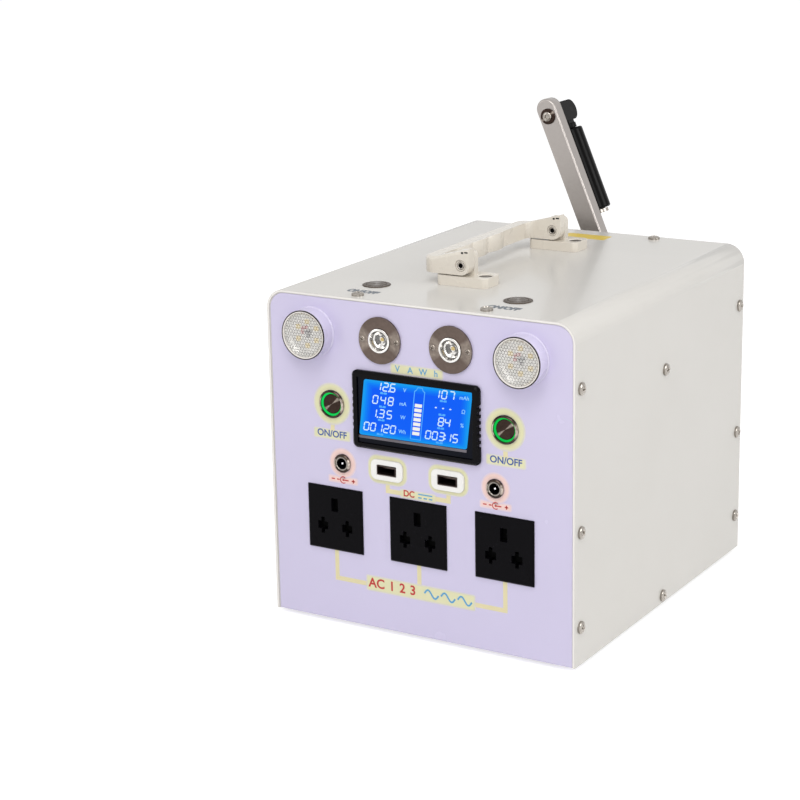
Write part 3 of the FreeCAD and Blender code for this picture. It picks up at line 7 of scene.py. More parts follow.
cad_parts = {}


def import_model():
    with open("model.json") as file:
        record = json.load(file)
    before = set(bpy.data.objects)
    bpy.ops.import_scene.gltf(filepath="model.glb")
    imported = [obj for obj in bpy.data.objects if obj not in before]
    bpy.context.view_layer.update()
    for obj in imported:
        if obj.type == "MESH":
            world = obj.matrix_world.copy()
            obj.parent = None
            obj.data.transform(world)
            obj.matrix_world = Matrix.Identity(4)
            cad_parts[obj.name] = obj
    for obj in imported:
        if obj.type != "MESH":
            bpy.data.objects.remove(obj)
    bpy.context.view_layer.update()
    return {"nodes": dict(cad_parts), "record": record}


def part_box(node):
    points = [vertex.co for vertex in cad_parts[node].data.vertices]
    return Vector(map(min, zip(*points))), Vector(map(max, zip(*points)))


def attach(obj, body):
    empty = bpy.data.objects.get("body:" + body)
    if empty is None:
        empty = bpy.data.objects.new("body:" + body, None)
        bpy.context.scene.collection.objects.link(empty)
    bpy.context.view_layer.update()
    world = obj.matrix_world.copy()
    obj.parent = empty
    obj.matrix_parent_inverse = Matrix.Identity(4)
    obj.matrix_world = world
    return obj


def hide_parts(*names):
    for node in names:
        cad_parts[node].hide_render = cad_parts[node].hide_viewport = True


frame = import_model()

# Looks of a hand crank generator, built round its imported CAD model: +Z up, front panel facing -Y.
# Places are in metres, as in Blender. Shapes are made in millimetres and scaled by MM where they are placed.

MM = 0.001
RIGHT, BACK, UP = Vector((1, 0, 0)), Vector((0, 1, 0)), Vector((0, 0, 1))
LEFT, FRONT = -RIGHT, -BACK
SIDES = ("left", "right")


# ---- Materials ----


def written(colour):
    """Linear RGBA of a colour written as it looks, such as "D8D2EA"."""
    channels = [int(colour[start : start + 2], 16) / 255 for start in (0, 2, 4)]
    linear = [c / 12.92 if c <= 0.04045 else ((c + 0.055) / 1.055) ** 2.4 for c in channels]
    return (*linear, 1.0)


def computed(tree, operation, *values):
    """Output of a Math node on numbers and on other nodes' outputs."""
    made = tree.nodes.new("ShaderNodeMath")
    made.operation = operation
    for socket, value in zip(made.inputs, values):
        if isinstance(value, float):
            socket.default_value = value
        else:
            tree.links.new(value, socket)
    return made.outputs[0]


class Finish:
    """A material with one Principled shader and the nodes that vary it."""

    def __init__(self, name, colour, **sockets):
        self.material = bpy.data.materials.new(name)
        self.material.use_nodes = True
        self.tree = self.material.node_tree
        self.link = self.tree.links.new
        self.shader = self.tree.nodes["Principled BSDF"]
        self.colour = written(colour)
        self.shader.inputs["Base Color"].default_value = self.colour
        for socket, value in sockets.items():
            self.shader.inputs[socket.replace("_", " ")].default_value = value

    def node(self, kind, **values):
        made = self.tree.nodes.new("ShaderNode" + kind)
        for socket, value in values.items():
            made.inputs[socket.replace("_", " ")].default_value = value
        return made

    def mapped(self, texture, coordinates, **mapping):
        """A texture's factor, on the piece's Object or Generated coordinates through a mapping."""
        mapper = self.node("Mapping", **mapping)
        self.link(self.node("TexCoord").outputs[coordinates], mapper.inputs["Vector"])
        self.link(mapper.outputs["Vector"], texture.inputs["Vector"])
        return texture.outputs["Fac"]

    def noise(self, scale, detail=3.0, stretch=(1, 1, 1)):
        """Soft noise, finer along an axis with a larger stretch."""
        noise = self.node("TexNoise", Scale=scale, Detail=detail)
        return self.mapped(noise, "Object", Scale=stretch)

    def highlight_wedges(self, lean, narrow):
        """High in two opposite wedges about the piece's middle along Y, where a highlight is painted; they are
        level at no lean.
        """
        turn = self.node("TexGradient")
        turn.gradient_type = "RADIAL"
        share = self.mapped(turn, "Generated", Location=(-0.5, 0.5, 0), Rotation=(math.pi / 2, 0, 0))
        angle = computed(self.tree, "MULTIPLY_ADD", share, 4 * math.pi, 2 * lean)
        wave = computed(self.tree, "COSINE", angle)
        return computed(self.tree, "MULTIPLY_ADD", wave, 4.0, -3.3) if narrow else wave

    def ranged(self, factor, low, high):
        """A factor's usual range, 0.3 to 0.7, spread over another."""
        span = self.node("MapRange", From_Min=0.3, From_Max=0.7, To_Min=low, To_Max=high)
        self.link(factor, span.inputs["Value"])
        return span.outputs["Result"]

    def blended(self, factor, first, second, most=1.0):
        """A colour that goes from the first towards the second where the factor is high."""
        mix = self.node("MixRGB", Color1=first, Color2=written(second))
        self.link(self.ranged(factor, 0.0, most), mix.inputs["Fac"])
        return mix

    def tint(self, factor, colour, most=1.0):
        """Blend the base colour towards another where the factor is high."""
        mix = self.blended(factor, self.colour, colour, most)
        base = self.shader.inputs["Base Color"]
        if base.is_linked:
            self.link(base.links[0].from_socket, mix.inputs["Color1"])
        self.link(mix.outputs["Color"], base)

    def roughen(self, factor, low, high):
        self.link(self.ranged(factor, low, high), self.shader.inputs["Roughness"])

    def bump(self, factor, depth):
        """Raise the surface by up to depth in millimetres."""
        bump = self.node("Bump", Strength=1.0, Distance=depth * MM)
        self.link(factor, bump.inputs["Height"])
        self.link(bump.outputs["Normal"], self.shader.inputs["Normal"])


def painted(name, colour, darker, roughness, **sockets):
    """Gloss paint on sheet metal, with slight clouds in its colour and in its gloss."""
    paint = Finish(name, colour, Roughness=roughness, Coat_Roughness=0.06, **sockets)
    paint.tint(paint.noise(9.0), darker, 0.5)
    paint.roughen(paint.noise(30.0), roughness * 0.9, roughness * 1.1)
    return paint.material


def brushed(name, colour, darker, roughness, stretch, grain=0.02):
    """Bare metal with a fine grain across the stretched axes."""
    metal = Finish(name, colour, Metallic=1.0, Roughness=roughness)
    lines = metal.noise(60.0, 4.0, stretch)
    metal.tint(lines, darker, 0.6)
    metal.roughen(metal.noise(40.0, 2.0, stretch), roughness * 0.93, roughness * 1.08)
    metal.bump(lines, grain)
    return metal.material


def spun(name, colour, darker, roughness, axis="Y", painted_highlight=None, lean=0.0, narrow=False):
    """Steel turned about the piece's own middle, its anisotropic gleam following the turning; a given highlight
    colour is painted in two opposite wedges.
    """
    metal = Finish(name, colour, Metallic=1.0, Roughness=roughness, Anisotropic=0.85)
    if painted_highlight:
        # painted highlight: the base colour goes towards the highlight colour in two opposite wedges
        metal.tint(metal.highlight_wedges(lean, narrow), painted_highlight, 0.75)
    tangent = metal.node("Tangent")
    tangent.direction_type = "RADIAL"
    tangent.axis = axis
    metal.link(tangent.outputs["Tangent"], metal.shader.inputs["Tangent"])
    metal.tint(metal.noise(500.0), darker, 0.6)
    metal.roughen(metal.noise(300.0, 2.0), roughness * 0.8, roughness * 1.25)
    return metal.material


def moulded(name, colour, darker, roughness, peel=0.01, **sockets):
    """Moulded plastic or rubber with a fine skin."""
    plastic = Finish(name, colour, Roughness=roughness, **sockets)
    plastic.tint(plastic.noise(25.0), darker, 0.4)
    plastic.roughen(plastic.noise(60.0), roughness * 0.8, roughness * 1.25)
    plastic.bump(plastic.noise(1400.0, 2.0), peel)
    return plastic.material


def cast(name, colour, darker, roughness):
    """Sawn or die-cast alloy with a coarse, dull skin."""
    metal = Finish(name, colour, Metallic=1.0, Roughness=roughness)
    metal.tint(metal.noise(120.0), darker, 0.6)
    metal.bump(metal.noise(700.0), 0.03)
    return metal.material


def glowing(name, colour, edge, strength=1.0):
    """A backlit area whose glow shifts towards another colour in soft patches."""
    lamp = Finish(name, "0A1020", Roughness=0.25, Specular_IOR_Level=0.04, Emission_Strength=strength)
    mix = lamp.blended(lamp.noise(14.0, 1.0), written(colour), edge)
    lamp.link(mix.outputs["Color"], lamp.shader.inputs["Emission Color"])
    return lamp.material


def printed(name, colour, darker):
    """Screen-printed ink."""
    ink = Finish(name, colour, Roughness=0.35)
    ink.tint(ink.noise(300.0), darker, 0.5)
    ink.bump(ink.noise(2500.0, 1.0), 0.005)
    return ink.material


def lens(name, colour, roughness, **sockets):
    """A clear moulding with a slight haze."""
    clear = Finish(name, colour, Roughness=roughness, **sockets)
    clear.roughen(clear.noise(200.0), roughness * 0.7, roughness * 1.4)
    return clear.material


FINISHES = {
    "shell_paint": painted(
        "gloss paint, off-white", "D8D5D0", "D2CFC9", 0.2, Coat_Weight=0.12, Specular_IOR_Level=0.12
    ),
    "panel_paint": painted("gloss paint, lilac", "D2CBE6", "CDC6E1", 0.25, Coat_Weight=0.3),
    "zinc_steel": brushed("zinc-plated steel", "A9A9AB", "8A8B8D", 0.38, (1, 12, 12)),
    "stainless": brushed("brushed stainless steel", "A8A29E", "A39D99", 0.34, (9, 9, 9), 0.0005),
    "screw_steel": brushed("nickel-plated steel", "B0AAA3", "827C74", 0.2, (6, 6, 6), 0.004),
    "dark_steel": moulded("blackened steel", "0E0C0C", "080707", 0.3, 0.004, Specular_IOR_Level=0.1),
    "foot_rubber": moulded("black rubber", "1C1C1E", "2B2B2D", 0.7, 0.03),
    "socket_black": moulded("black nylon", "08070A", "0C0B0E", 0.3, 0.01, Specular_IOR_Level=0.05),
    "meter_black": moulded("black ABS", "070608", "0C0B0D", 0.25, 0.008, Specular_IOR_Level=0.08),
    "display_blue": moulded("dark display glass", "070A14", "0A0F1E", 0.12, Specular_IOR_Level=0.08),
    "usb_white": moulded("white ABS", "F4F3EF", "EAE8E2", 0.25, 0.01, Coat_Weight=0.3),
    "lamp_chrome": brushed("polished chrome", "E4E4E6", "CFCFD2", 0.07, (3, 3, 3), 0.001),
    "lamp_lens": lens("clear polycarbonate", "FFFFFF", 0.08, IOR=1.5, Transmission_Weight=0.7),
    "handle_plastic": moulded("cream nylon", "DDD6CA", "D8D0C4", 0.28, 0.006, Coat_Weight=0.25),
    "grip_black": moulded("black phenolic", "080707", "0D0C0C", 0.2, 0.004, Specular_IOR_Level=0.08),
    "bronze": cast("sintered bronze", "A77B42", "8A6334", 0.45),
    "gear_steel": brushed("hobbed gear steel", "8F8F92", "6E6E72", 0.3, (1, 30, 1)),
    "gearbox_alloy": cast("die-cast alloy", "B4B5B8", "9A9BA0", 0.5),
    "copper": brushed("enamelled copper", "B5653A", "94502C", 0.3, (1, 40, 1)),
    "cell_blue": moulded("blue cell sleeve", "2F5FA8", "274F90", 0.35, 0.02),
    "tray_steel": brushed("galvanised tray", "9EA2A5", "84888C", 0.42, (1, 1, 1)),
    "strap_black": moulded("black woven strap", "17171A", "26262A", 0.6, 0.05),
    "board_green": moulded("green solder mask", "1E5A34", "174828", 0.3, 0.008),
    "heatsink_alloy": brushed("extruded aluminium", "BDBFC2", "A3A6AA", 0.35, (20, 1, 20)),
    "nylon": moulded("natural nylon", "E6E1D2", "D9D3C2", 0.45, 0.02),
}
CHROME = FINISHES["lamp_chrome"]
SCREW = FINISHES["screw_steel"]

# The wedge colours are painted highlights: bright wedges on the spot flanges, button flanges and jack nuts, and a
# narrow diagonal glint on the dark caps and the knuckle washer.
SPUN_STEEL = spun("spun steel", "675A53", "5A4F49", 0.34, painted_highlight="988D83")
BUTTON_STEEL = spun("turned button steel", "453B35", "352D28", 0.14, painted_highlight="D6C9BC")
LID_STEEL = spun("turned steel on the lid", "5F554D", "524941", 0.3, "Z")
DARK_CAP = spun("dark turned cap", "3A2E29", "2A211D", 0.25, painted_highlight="B5A99E", lean=0.65, narrow=True)
SPOT_SCREW = brushed("flange screw", "9C938A", "5A5049", 0.22, (6, 6, 6), 0.004)
DARK_SCREW = brushed("darkened screw", "6B635B", "453F39", 0.3, (6, 6, 6), 0.004)
# Painted highlight: a brighter cream than the shell's paint, for the bright line along the sheet's edge.
EDGE_HIGHLIGHT = painted("painted highlight on the sheet's edge", "F3EFE9", "ECE8E1", 0.2, Coat_Weight=0.2)
HOLE = moulded("shaded recess", "050505", "080707", 0.6, Specular_IOR_Level=0.03)
SLEEVE = brushed("jack's sleeve", "8F8982", "7A746E", 0.16, (3, 3, 3), 0.001)
PORT = brushed("shaded port shell", "5C524D", "463D39", 0.4, (3, 3, 3), 0.001)

# Lamps
# Painted reflection: the lamp tube is lilac for the panel that its chrome mirrors.
MIRRORED_PANEL_TUBE = moulded("lamp tube painted with the panel's reflection", "D8D2E8", "D2CBE4", 0.3, 0.002, Specular_IOR_Level=0.4)
# Dark lip of the lamp tubes, and also the painted dark reflections inside the lamps.
DARK_RIM_AND_REFLECTIONS = moulded("dark lamp rim and painted dark reflections", "2B2324", "1D1718", 0.3, 0.004, Specular_IOR_Level=0.3)
PALE_RIM = moulded("pale lamp seal", "F1ECE6", "E6E0D9", 0.35)
BOWL = moulded("silvered bowl", "E4E2DC", "D6D4CE", 0.3, 0.004, Metallic=0.6)
REFLECTOR = brushed("silvered reflector", "E9E7E4", "CFCBC6", 0.15, (2, 2, 2), 0.004)
PEBBLE = lens("pebbled lens", "FCFAF7", 0.14, Alpha=0.42)
# Painted shade: a darker grey in the valleys between the pebbles.
PEBBLE_SHADE = lens("painted shade between the lens's pebbles", "8A888B", 0.3, Alpha=0.5)
LENS_BACK = lens("back of the lens", "FFFFFF", 0.1, Alpha=0.04)
CLEAR_EYE = lens("bull's-eye lens", "F6F4F0", 0.05, Alpha=0.09)
LED_CHIP = glowing("led chip", "EEC650", "F2D678", 0.65)
LED_GREEN = glowing("green ring light", "00C244", "16DC5E")

# Display, its backlight brightest in the middle
LCD_BANDS = (("109EEE", "0C90EC"), ("0492F4", "0086F2"), ("0082F6", "0078F4"), ("0074F6", "006CF4"))
LCD_BANDS += (("0068F6", "0062F4"), ("0058F6", "0064F8"))
LCD_GLOW = [glowing(f"lcd backlight {n + 1}", *pair) for n, pair in enumerate(LCD_BANDS)]
LCD_WHITE = glowing("lcd segments", "DCF4FF", "C2E8FF")
LCD_BARS = glowing("lcd gauge bars", "F6F4EC", "ECEFEF")
LCD_PALE = glowing("lcd units", "9AD6FE", "86CAFC")
LCD_FAINT = glowing("lcd outlines", "5CB6FC", "48A4FA")
DISPLAY_EDGE = brushed("display's metal edge", "6E6A70", "4E4A50", 0.4, (1, 1, 6))

# Prints; the fading ones go out over the lilac paint, from the middle outwards
FADING_YELLOW = (("E3E0B6", "DEDBAE"), ("DEDBC0", "DAD7BA"), ("D9D4D0", "D6D1CC"))
FADING_PINK = (("F3D3CB", "EFCDC6"), ("EAD1D2", "E6CCCE"), ("DDCDDC", "DAC9D8"))
YELLOWS = [printed(f"fading yellow print {n + 1}", *pair) for n, pair in enumerate(FADING_YELLOW)]
PINKS = [printed(f"fading pink print {n + 1}", *pair) for n, pair in enumerate(FADING_PINK)]
INK_YELLOW = printed("pale yellow print", "E4DAAE", "DFD4A4")
INK_BLUE = printed("blue print", "1F4796", "2A55A6")
INK_SKY = printed("light blue print", "4F9CCB", "62A9D2")
INK_RED = printed("red print", "C2302C", "B02826")
INK_SLATE = printed("slate print", "404B58", "4C5865")
STICKER = printed("yellow sticker", "E3C53A", "D2B12C")


# ---- Places ----


panel_low, panel_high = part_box("front_panel")
panel_middle = (panel_low.x + panel_high.x) / 2
panel_face = panel_low.y
panel_floor = panel_low.z
rear_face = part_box("rear_panel")[1].y
surface_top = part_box("outer_shell")[1].z


def facing(centre, out):
    """Placement at the centre, with its +Z along out, which is an axis's direction, and its +X level."""
    side = RIGHT if out == UP else UP.cross(out)
    turn = Matrix((side, out.cross(side), out)).transposed().to_4x4()
    return Matrix.Translation(centre) @ turn


def moved(place, x=0.0, y=0.0, z=0.0, turn=0.0):
    """A placement moved within itself, in millimetres, and then turned about its own +Z."""
    return place @ Matrix.Translation((x * MM, y * MM, z * MM)) @ Matrix.Rotation(turn, 4, "Z")


def centre_of(box, **fixed):
    """The middle of a pair of corners, with some of its coordinates given instead."""
    centre = (box[0] + box[1]) / 2
    for axis, value in fixed.items():
        setattr(centre, axis, value)
    return centre


def on_panel(x, height):
    """Placement on the front panel, by millimetres from its middle and above its lower edge."""
    return facing(Vector((panel_middle + x * MM, panel_face, panel_floor + height * MM)), FRONT)


def on_lid(x, y):
    """Placement on the case's top at (x, y) in millimetres."""
    return facing(Vector((x * MM, y * MM, surface_top)), UP)


def panel_pair(node):
    """Side, placement, and radius, front and rear reach in mm of a node's two round pieces in the panel."""
    low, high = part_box(node)
    radius = (high.z - low.z) / 2
    sizes = (radius / MM, (panel_face - low.y) / MM, (high.y - panel_face) / MM)
    for side, x in zip(SIDES, (low.x + radius, high.x - radius)):
        yield side, facing(Vector((x, panel_face, (low.z + high.z) / 2)), FRONT), *sizes


def button_places(name):
    """(side, placement) of the front or the top push buttons."""
    fixed, out = ({"z": surface_top}, UP) if name == "top" else ({"y": panel_face}, FRONT)
    return [(side, facing(centre_of(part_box(f"{name}_button_{side}"), **fixed), out)) for side in SIDES]


# ---- Making pieces ----


def add_piece(name, mesh, material, body="case", sharp=35):
    """Show a mesh that is already in the model's frame, smooth up to the sharp angle in degrees."""
    mesh.materials.append(material)
    mesh.shade_smooth()
    mesh.set_sharp_from_angle(angle=math.radians(sharp))
    piece = bpy.data.objects.new(name, mesh)
    bpy.context.scene.collection.objects.link(piece)
    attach(piece, body)
    return piece


def add_shape(name, shape, place, material, body="case", sharp=35):
    """Show a bmesh made in millimetres on the placement, with its faces turned outwards."""
    shape.transform(place @ Matrix.Scale(MM, 4))
    bmesh.ops.recalc_face_normals(shape, faces=shape.faces)
    mesh = bpy.data.meshes.new(name)
    shape.to_mesh(mesh)
    shape.free()
    return add_piece(name, mesh, material, body, sharp)


def bridge(shape, rings, closed=True):
    """Faces between neighbouring rings of as many vertices each; a ring of one vertex is a tip."""
    made = []
    for low, high in zip(rings, rings[1:]):
        count = max(len(low), len(high))
        for step in range(count if closed else count - 1):
            after = (step + 1) % count
            corners = [low[step % len(low)], low[after % len(low)]]
            corners += [high[after % len(high)], high[step % len(high)]]
            corners = list(dict.fromkeys(corners))
            if len(corners) > 2:
                made.append(shape.faces.new(corners))
    return made


def lathe(shape, profile, segments=72):
    """Faces turned round Z from (radius, height) points."""
    angles = [2 * math.pi * step / segments for step in range(segments)]
    rings = []
    for radius, height in profile:
        turns = angles if radius > 1e-9 else angles[:1]
        rings.append([shape.verts.new((radius * math.cos(a), radius * math.sin(a), height)) for a in turns])
    return bridge(shape, rings)


def rounded(profile, radius, steps=4):
    """The profile with each corner inside it rounded by up to that radius."""
    points = [Vector(point) for point in profile]
    made = points[:1]
    for before, corner, after in zip(points, points[1:], points[2:]):
        back, ahead = before - corner, after - corner
        reach = min(radius, back.length * 0.45, ahead.length * 0.45)
        start, end = corner + back.normalized() * reach, corner + ahead.normalized() * reach
        for step in range(steps + 1):
            t = step / steps
            made.append(start * (1 - t) ** 2 + corner * 2 * t * (1 - t) + end * t**2)
    return [tuple(point) for point in made + points[-1:]]


def turned(name, profile, place, material, body="case", soften=0.0, segments=72):
    """A piece turned from a profile in millimetres; one with both ends off the axis is a closed ring."""
    if profile[0][0] and profile[-1][0]:
        profile = [*profile, profile[0]]
    if soften:
        profile = rounded(profile, soften)
    shape = bmesh.new()
    lathe(shape, profile, segments)
    return add_shape(name, shape, place, material, body)


def box_outline(width, tall, x=0.0, y=0.0, corner=0.0, steps=5):
    """Corners of a rectangle about (x, y), rounded where a corner radius is given."""
    half, rise = width / 2, tall / 2
    if corner <= 0:
        return [(x - half, y - rise), (x + half, y - rise), (x + half, y + rise), (x - half, y + rise)]
    points = []
    for quarter, (sx, sy) in enumerate(((1, 1), (-1, 1), (-1, -1), (1, -1))):
        cx, cy = x + sx * (half - corner), y + sy * (rise - corner)
        for step in range(steps + 1):
            angle = math.pi / 2 * (quarter + step / steps)
            points.append((cx + corner * math.cos(angle), cy + corner * math.sin(angle)))
    return points


def arc_outline(inner, outer, start, end, steps=14, x=0.0, y=0.0):
    """Outline of part of a flat ring about (x, y), between two angles in degrees."""
    turns = [math.radians(start + (end - start) * step / steps) for step in range(steps + 1)]
    out = [(x + outer * math.cos(a), y + outer * math.sin(a)) for a in turns]
    return out + [(x + inner * math.cos(a), y + inner * math.sin(a)) for a in reversed(turns)]


def plates(name, outlines, place, material, thickness, body="case", low=0.0):
    """One piece of flat plates with those outlines in millimetres."""
    shape = bmesh.new()
    for outline in outlines:
        floor, roof = ([shape.verts.new((x, y, z)) for x, y in outline] for z in (low, low + thickness))
        shape.faces.new(floor)
        shape.faces.new(roof)
        bridge(shape, (floor, roof))
    return add_shape(name, shape, place, material, body)


def frame_plates(name, outer, inner, place, material, thickness, low=0.0, closed=True):
    """A flat frame, or an open strip, between two outlines with as many points."""
    shape = bmesh.new()
    corners = ((outer, low), (inner, low), (inner, low + thickness), (outer, low + thickness))
    rings = [[shape.verts.new((x, y, z)) for x, y in outline] for outline, z in corners]
    bridge(shape, rings + rings[:1], closed)
    for end in () if closed else (0, -1):
        shape.faces.new([ring[end] for ring in rings])
    return add_shape(name, shape, place, material)


def lettering(name, words, place, height, material, thickness=0.06, bold=0.0):
    """Generic figures, units or ON and OFF, centred on the placement; height is that of a capital."""
    curve = bpy.data.curves.new(name, "FONT")
    curve.body = words
    curve.align_x = "CENTER"
    curve.align_y = "CENTER"
    curve.size = height * MM / 0.7
    curve.extrude = thickness * MM / 2
    curve.offset = bold * MM
    source = bpy.data.objects.new(name + "_text", curve)
    bpy.context.scene.collection.objects.link(source)
    bpy.context.view_layer.update()
    mesh = bpy.data.meshes.new_from_object(source)
    bpy.data.objects.remove(source)
    mesh.transform(moved(place, z=thickness / 2))
    mesh.name = name
    return add_piece(name, mesh, material)


def soften(node, width, segments):
    """Round a CAD node's edges a little, as folding, moulding or tumbling leaves them."""
    piece = frame["nodes"][node]
    weld = piece.modifiers.new("weld", "WELD")
    weld.merge_threshold = 0.001 * MM
    flat = piece.modifiers.new("flat faces", "DECIMATE")
    flat.decimate_type = "DISSOLVE"
    flat.angle_limit = math.radians(0.5)
    bevel = piece.modifiers.new("edges", "BEVEL")
    bevel.width = width * MM
    bevel.segments = segments
    bevel.limit_method = "ANGLE"
    bevel.angle_limit = math.radians(35)
    bevel.use_clamp_overlap = True
    bevel.harden_normals = True


def islands(node):
    """(lowest corner, highest corner) of each separate solid in a CAD node."""
    mesh = frame["nodes"][node].data
    points = [tuple(round(c, 6) for c in vertex.co) for vertex in mesh.vertices]
    joined = {point: {point} for point in points}
    for polygon in mesh.polygons:
        together = set().union(*(joined[points[index]] for index in polygon.vertices))
        joined.update(dict.fromkeys(together, together))
    boxes = {tuple(tuple(map(pick, zip(*solid))) for pick in (min, max)) for solid in joined.values()}
    return [(Vector(low), Vector(high)) for low, high in sorted(boxes)]


# ---- Case: finishes, edges and screws ----

OWN_FINISHES = {"usb_ports": PORT, "grip_hinge_pin": FINISHES["dark_steel"]}
SOFT_EDGES = {  # width in millimetres and segments, by CAD node
    "outer_shell": (0.35, 2),
    "rear_panel": (0.2, 2),
    "rubber_feet": (1.2, 3),
    "bearing_flange": (0.5, 3),
    "meter_bezel": (0.25, 2),
    "usb_bezels": (0.55, 4),
    "carry_handle": (0.3, 2),
    "crank_arm": (0.7, 3),
    "crank_hub": (0.6, 3),
    "knuckle_bracket": (0.6, 3),
    "grip_spindle": (0.25, 3),
}
SOFT_EDGES |= {f"ac_socket_{name}": (0.9, 2) for name in ("left", "middle", "right")}
SOFT_EDGES |= {f"handle_foot_{name}": (0.8, 3) for name in ("front", "rear")}


def finish_nodes():
    """Give every CAD node its slot's finish or its own, and round the edges of some."""
    for part in frame["record"]["subparts"]:
        node = part["node"]
        materials = frame["nodes"][node].data.materials
        materials.clear()
        materials.append(OWN_FINISHES.get(node) or FINISHES[part["material_slot"]])
    for node, edge in SOFT_EDGES.items():
        soften(node, *edge)


def screw_piece(
    name, place, radius, height, body="case", socket="cross", material=SCREW, reach=0.55, segments=48, steps=16
):
    """A pan head with a cross, hexagon or slot sunk in it; reach is the socket's share of the radius."""
    wide = radius * reach
    arm = wide * 0.26

    def sunk(x, y):
        x, y = abs(x), abs(y)
        if socket == "cross":
            inside = max(min(arm - x, wide - y), min(arm - y, wide - x))
        elif socket == "slot":
            inside = min(arm - x, radius - y)
        else:
            inside = wide * 0.87 - max(x, x / 2 + y * math.sqrt(0.75))
        return min(max(inside / (0.12 * wide), 0.0), 1.0)

    shape = bmesh.new()
    angles = [2 * math.pi * part / segments for part in range(segments)]
    rings = []
    for step in range(steps + 1):
        r = radius * step / steps
        crown = height * (1 - 0.42 * (step / steps) ** 3.2)
        points = [(r * math.cos(a), r * math.sin(a)) for a in (angles if step else angles[:1])]
        rings.append([shape.verts.new((x, y, crown - height * 0.55 * sunk(x, y))) for x, y in points])
    rings.append([shape.verts.new((x, y, 0.0)) for x, y in points])
    bridge(shape, rings)
    return add_shape(name, shape, place, material, body, sharp=50)


def case_screws():
    """A cross-head screw at each of the case's screws; they were driven in at different angles."""
    half_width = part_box("outer_shell")[1].x
    first = None
    for number, (low, high) in enumerate(islands("case_screws")):
        if high.z > surface_top:
            out, radius, height = UP, (high.x - low.x) / 2, high.z - surface_top
            seat = centre_of((low, high), z=surface_top)
        else:
            end, out = (high.x, RIGHT) if low.x + high.x > 0 else (low.x, LEFT)
            radius, height = (high.z - low.z) / 2, abs(end) - half_width
            seat = centre_of((low, high), x=math.copysign(half_width, end))
        place = moved(facing(seat, out), turn=0.9 * number)
        screw = screw_piece(f"case_screw_{number + 1}", place, radius / MM, height / MM)
        first = first or screw
    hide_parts("case_screws")


def gearbox_screws():
    """Heads on the rear panel of the four screws into the gearbox posts."""
    for number, box in enumerate(islands("gearbox_posts")):
        place = moved(facing(centre_of(box, y=rear_face), BACK), turn=0.7 * number)
        screw_piece(f"gearbox_screw_{number + 1}", place, 3.6, 2.1)


def bearing_flange_screws(ring=16.2):
    """Three socket-head screws, on a ring of that radius, that hold the crank's bearing flange."""
    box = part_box("bearing_flange")
    centre = facing(centre_of(box, y=box[1].y), BACK)
    for number in range(3):
        angle = math.radians(90 + 120 * number)
        place = moved(centre, -ring * math.cos(angle), ring * math.sin(angle))
        screw_piece(f"bearing_screw_{number + 1}", place, 2.9, 1.6, socket="hexagon")


def arch_outline(half, low, high, corner, steps=10):
    """Points up the left side, round two corners and down the right side, in millimetres."""
    points = [(-half, low)]
    for sign, start in ((-1, math.pi), (1, math.pi / 2)):
        for step in range(steps + 1):
            turn = start - math.pi / 2 * step / steps
            x = sign * (half - corner) + corner * math.cos(turn)
            points.append((x, high - corner + corner * math.sin(turn)))
    return points + [(half, low)]


def shell_strips(name, material, inset, wide, corner, lift, thickness, low):
    """A strip round the front and one round the rear opening of the shell, set in from its outside."""
    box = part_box("outer_shell")
    half, top, foot = box[1].x / MM - inset, box[1].z / MM - inset, box[0].z / MM + lift
    outer = arch_outline(half, foot, top, corner)
    inner = arch_outline(half - wide, foot, top - wide, corner - wide)
    for end, y, out in (("front", box[0].y, FRONT), ("rear", box[1].y, BACK)):
        place = facing(Vector((0, y, 0)), out)
        frame_plates(f"{name}_{end}", outer, inner, place, material, thickness, low, closed=False)


def case():
    case_screws()
    gearbox_screws()
    bearing_flange_screws()
    # Filler in the seams beside the panels, and a painted highlight, brighter than the paint, along the sheet's
    # cut edges.
    shell_strips("bead", FINISHES["shell_paint"], 1.45, 0.8, 11.0, lift=0.0, thickness=0.8, low=-1.55)
    shell_strips("sheet_edge_highlight", EDGE_HIGHLIGHT, 0.3, 1.1, 12.15, lift=0.3, thickness=0.06, low=0.0)


# ---- Front panel: lamps ----


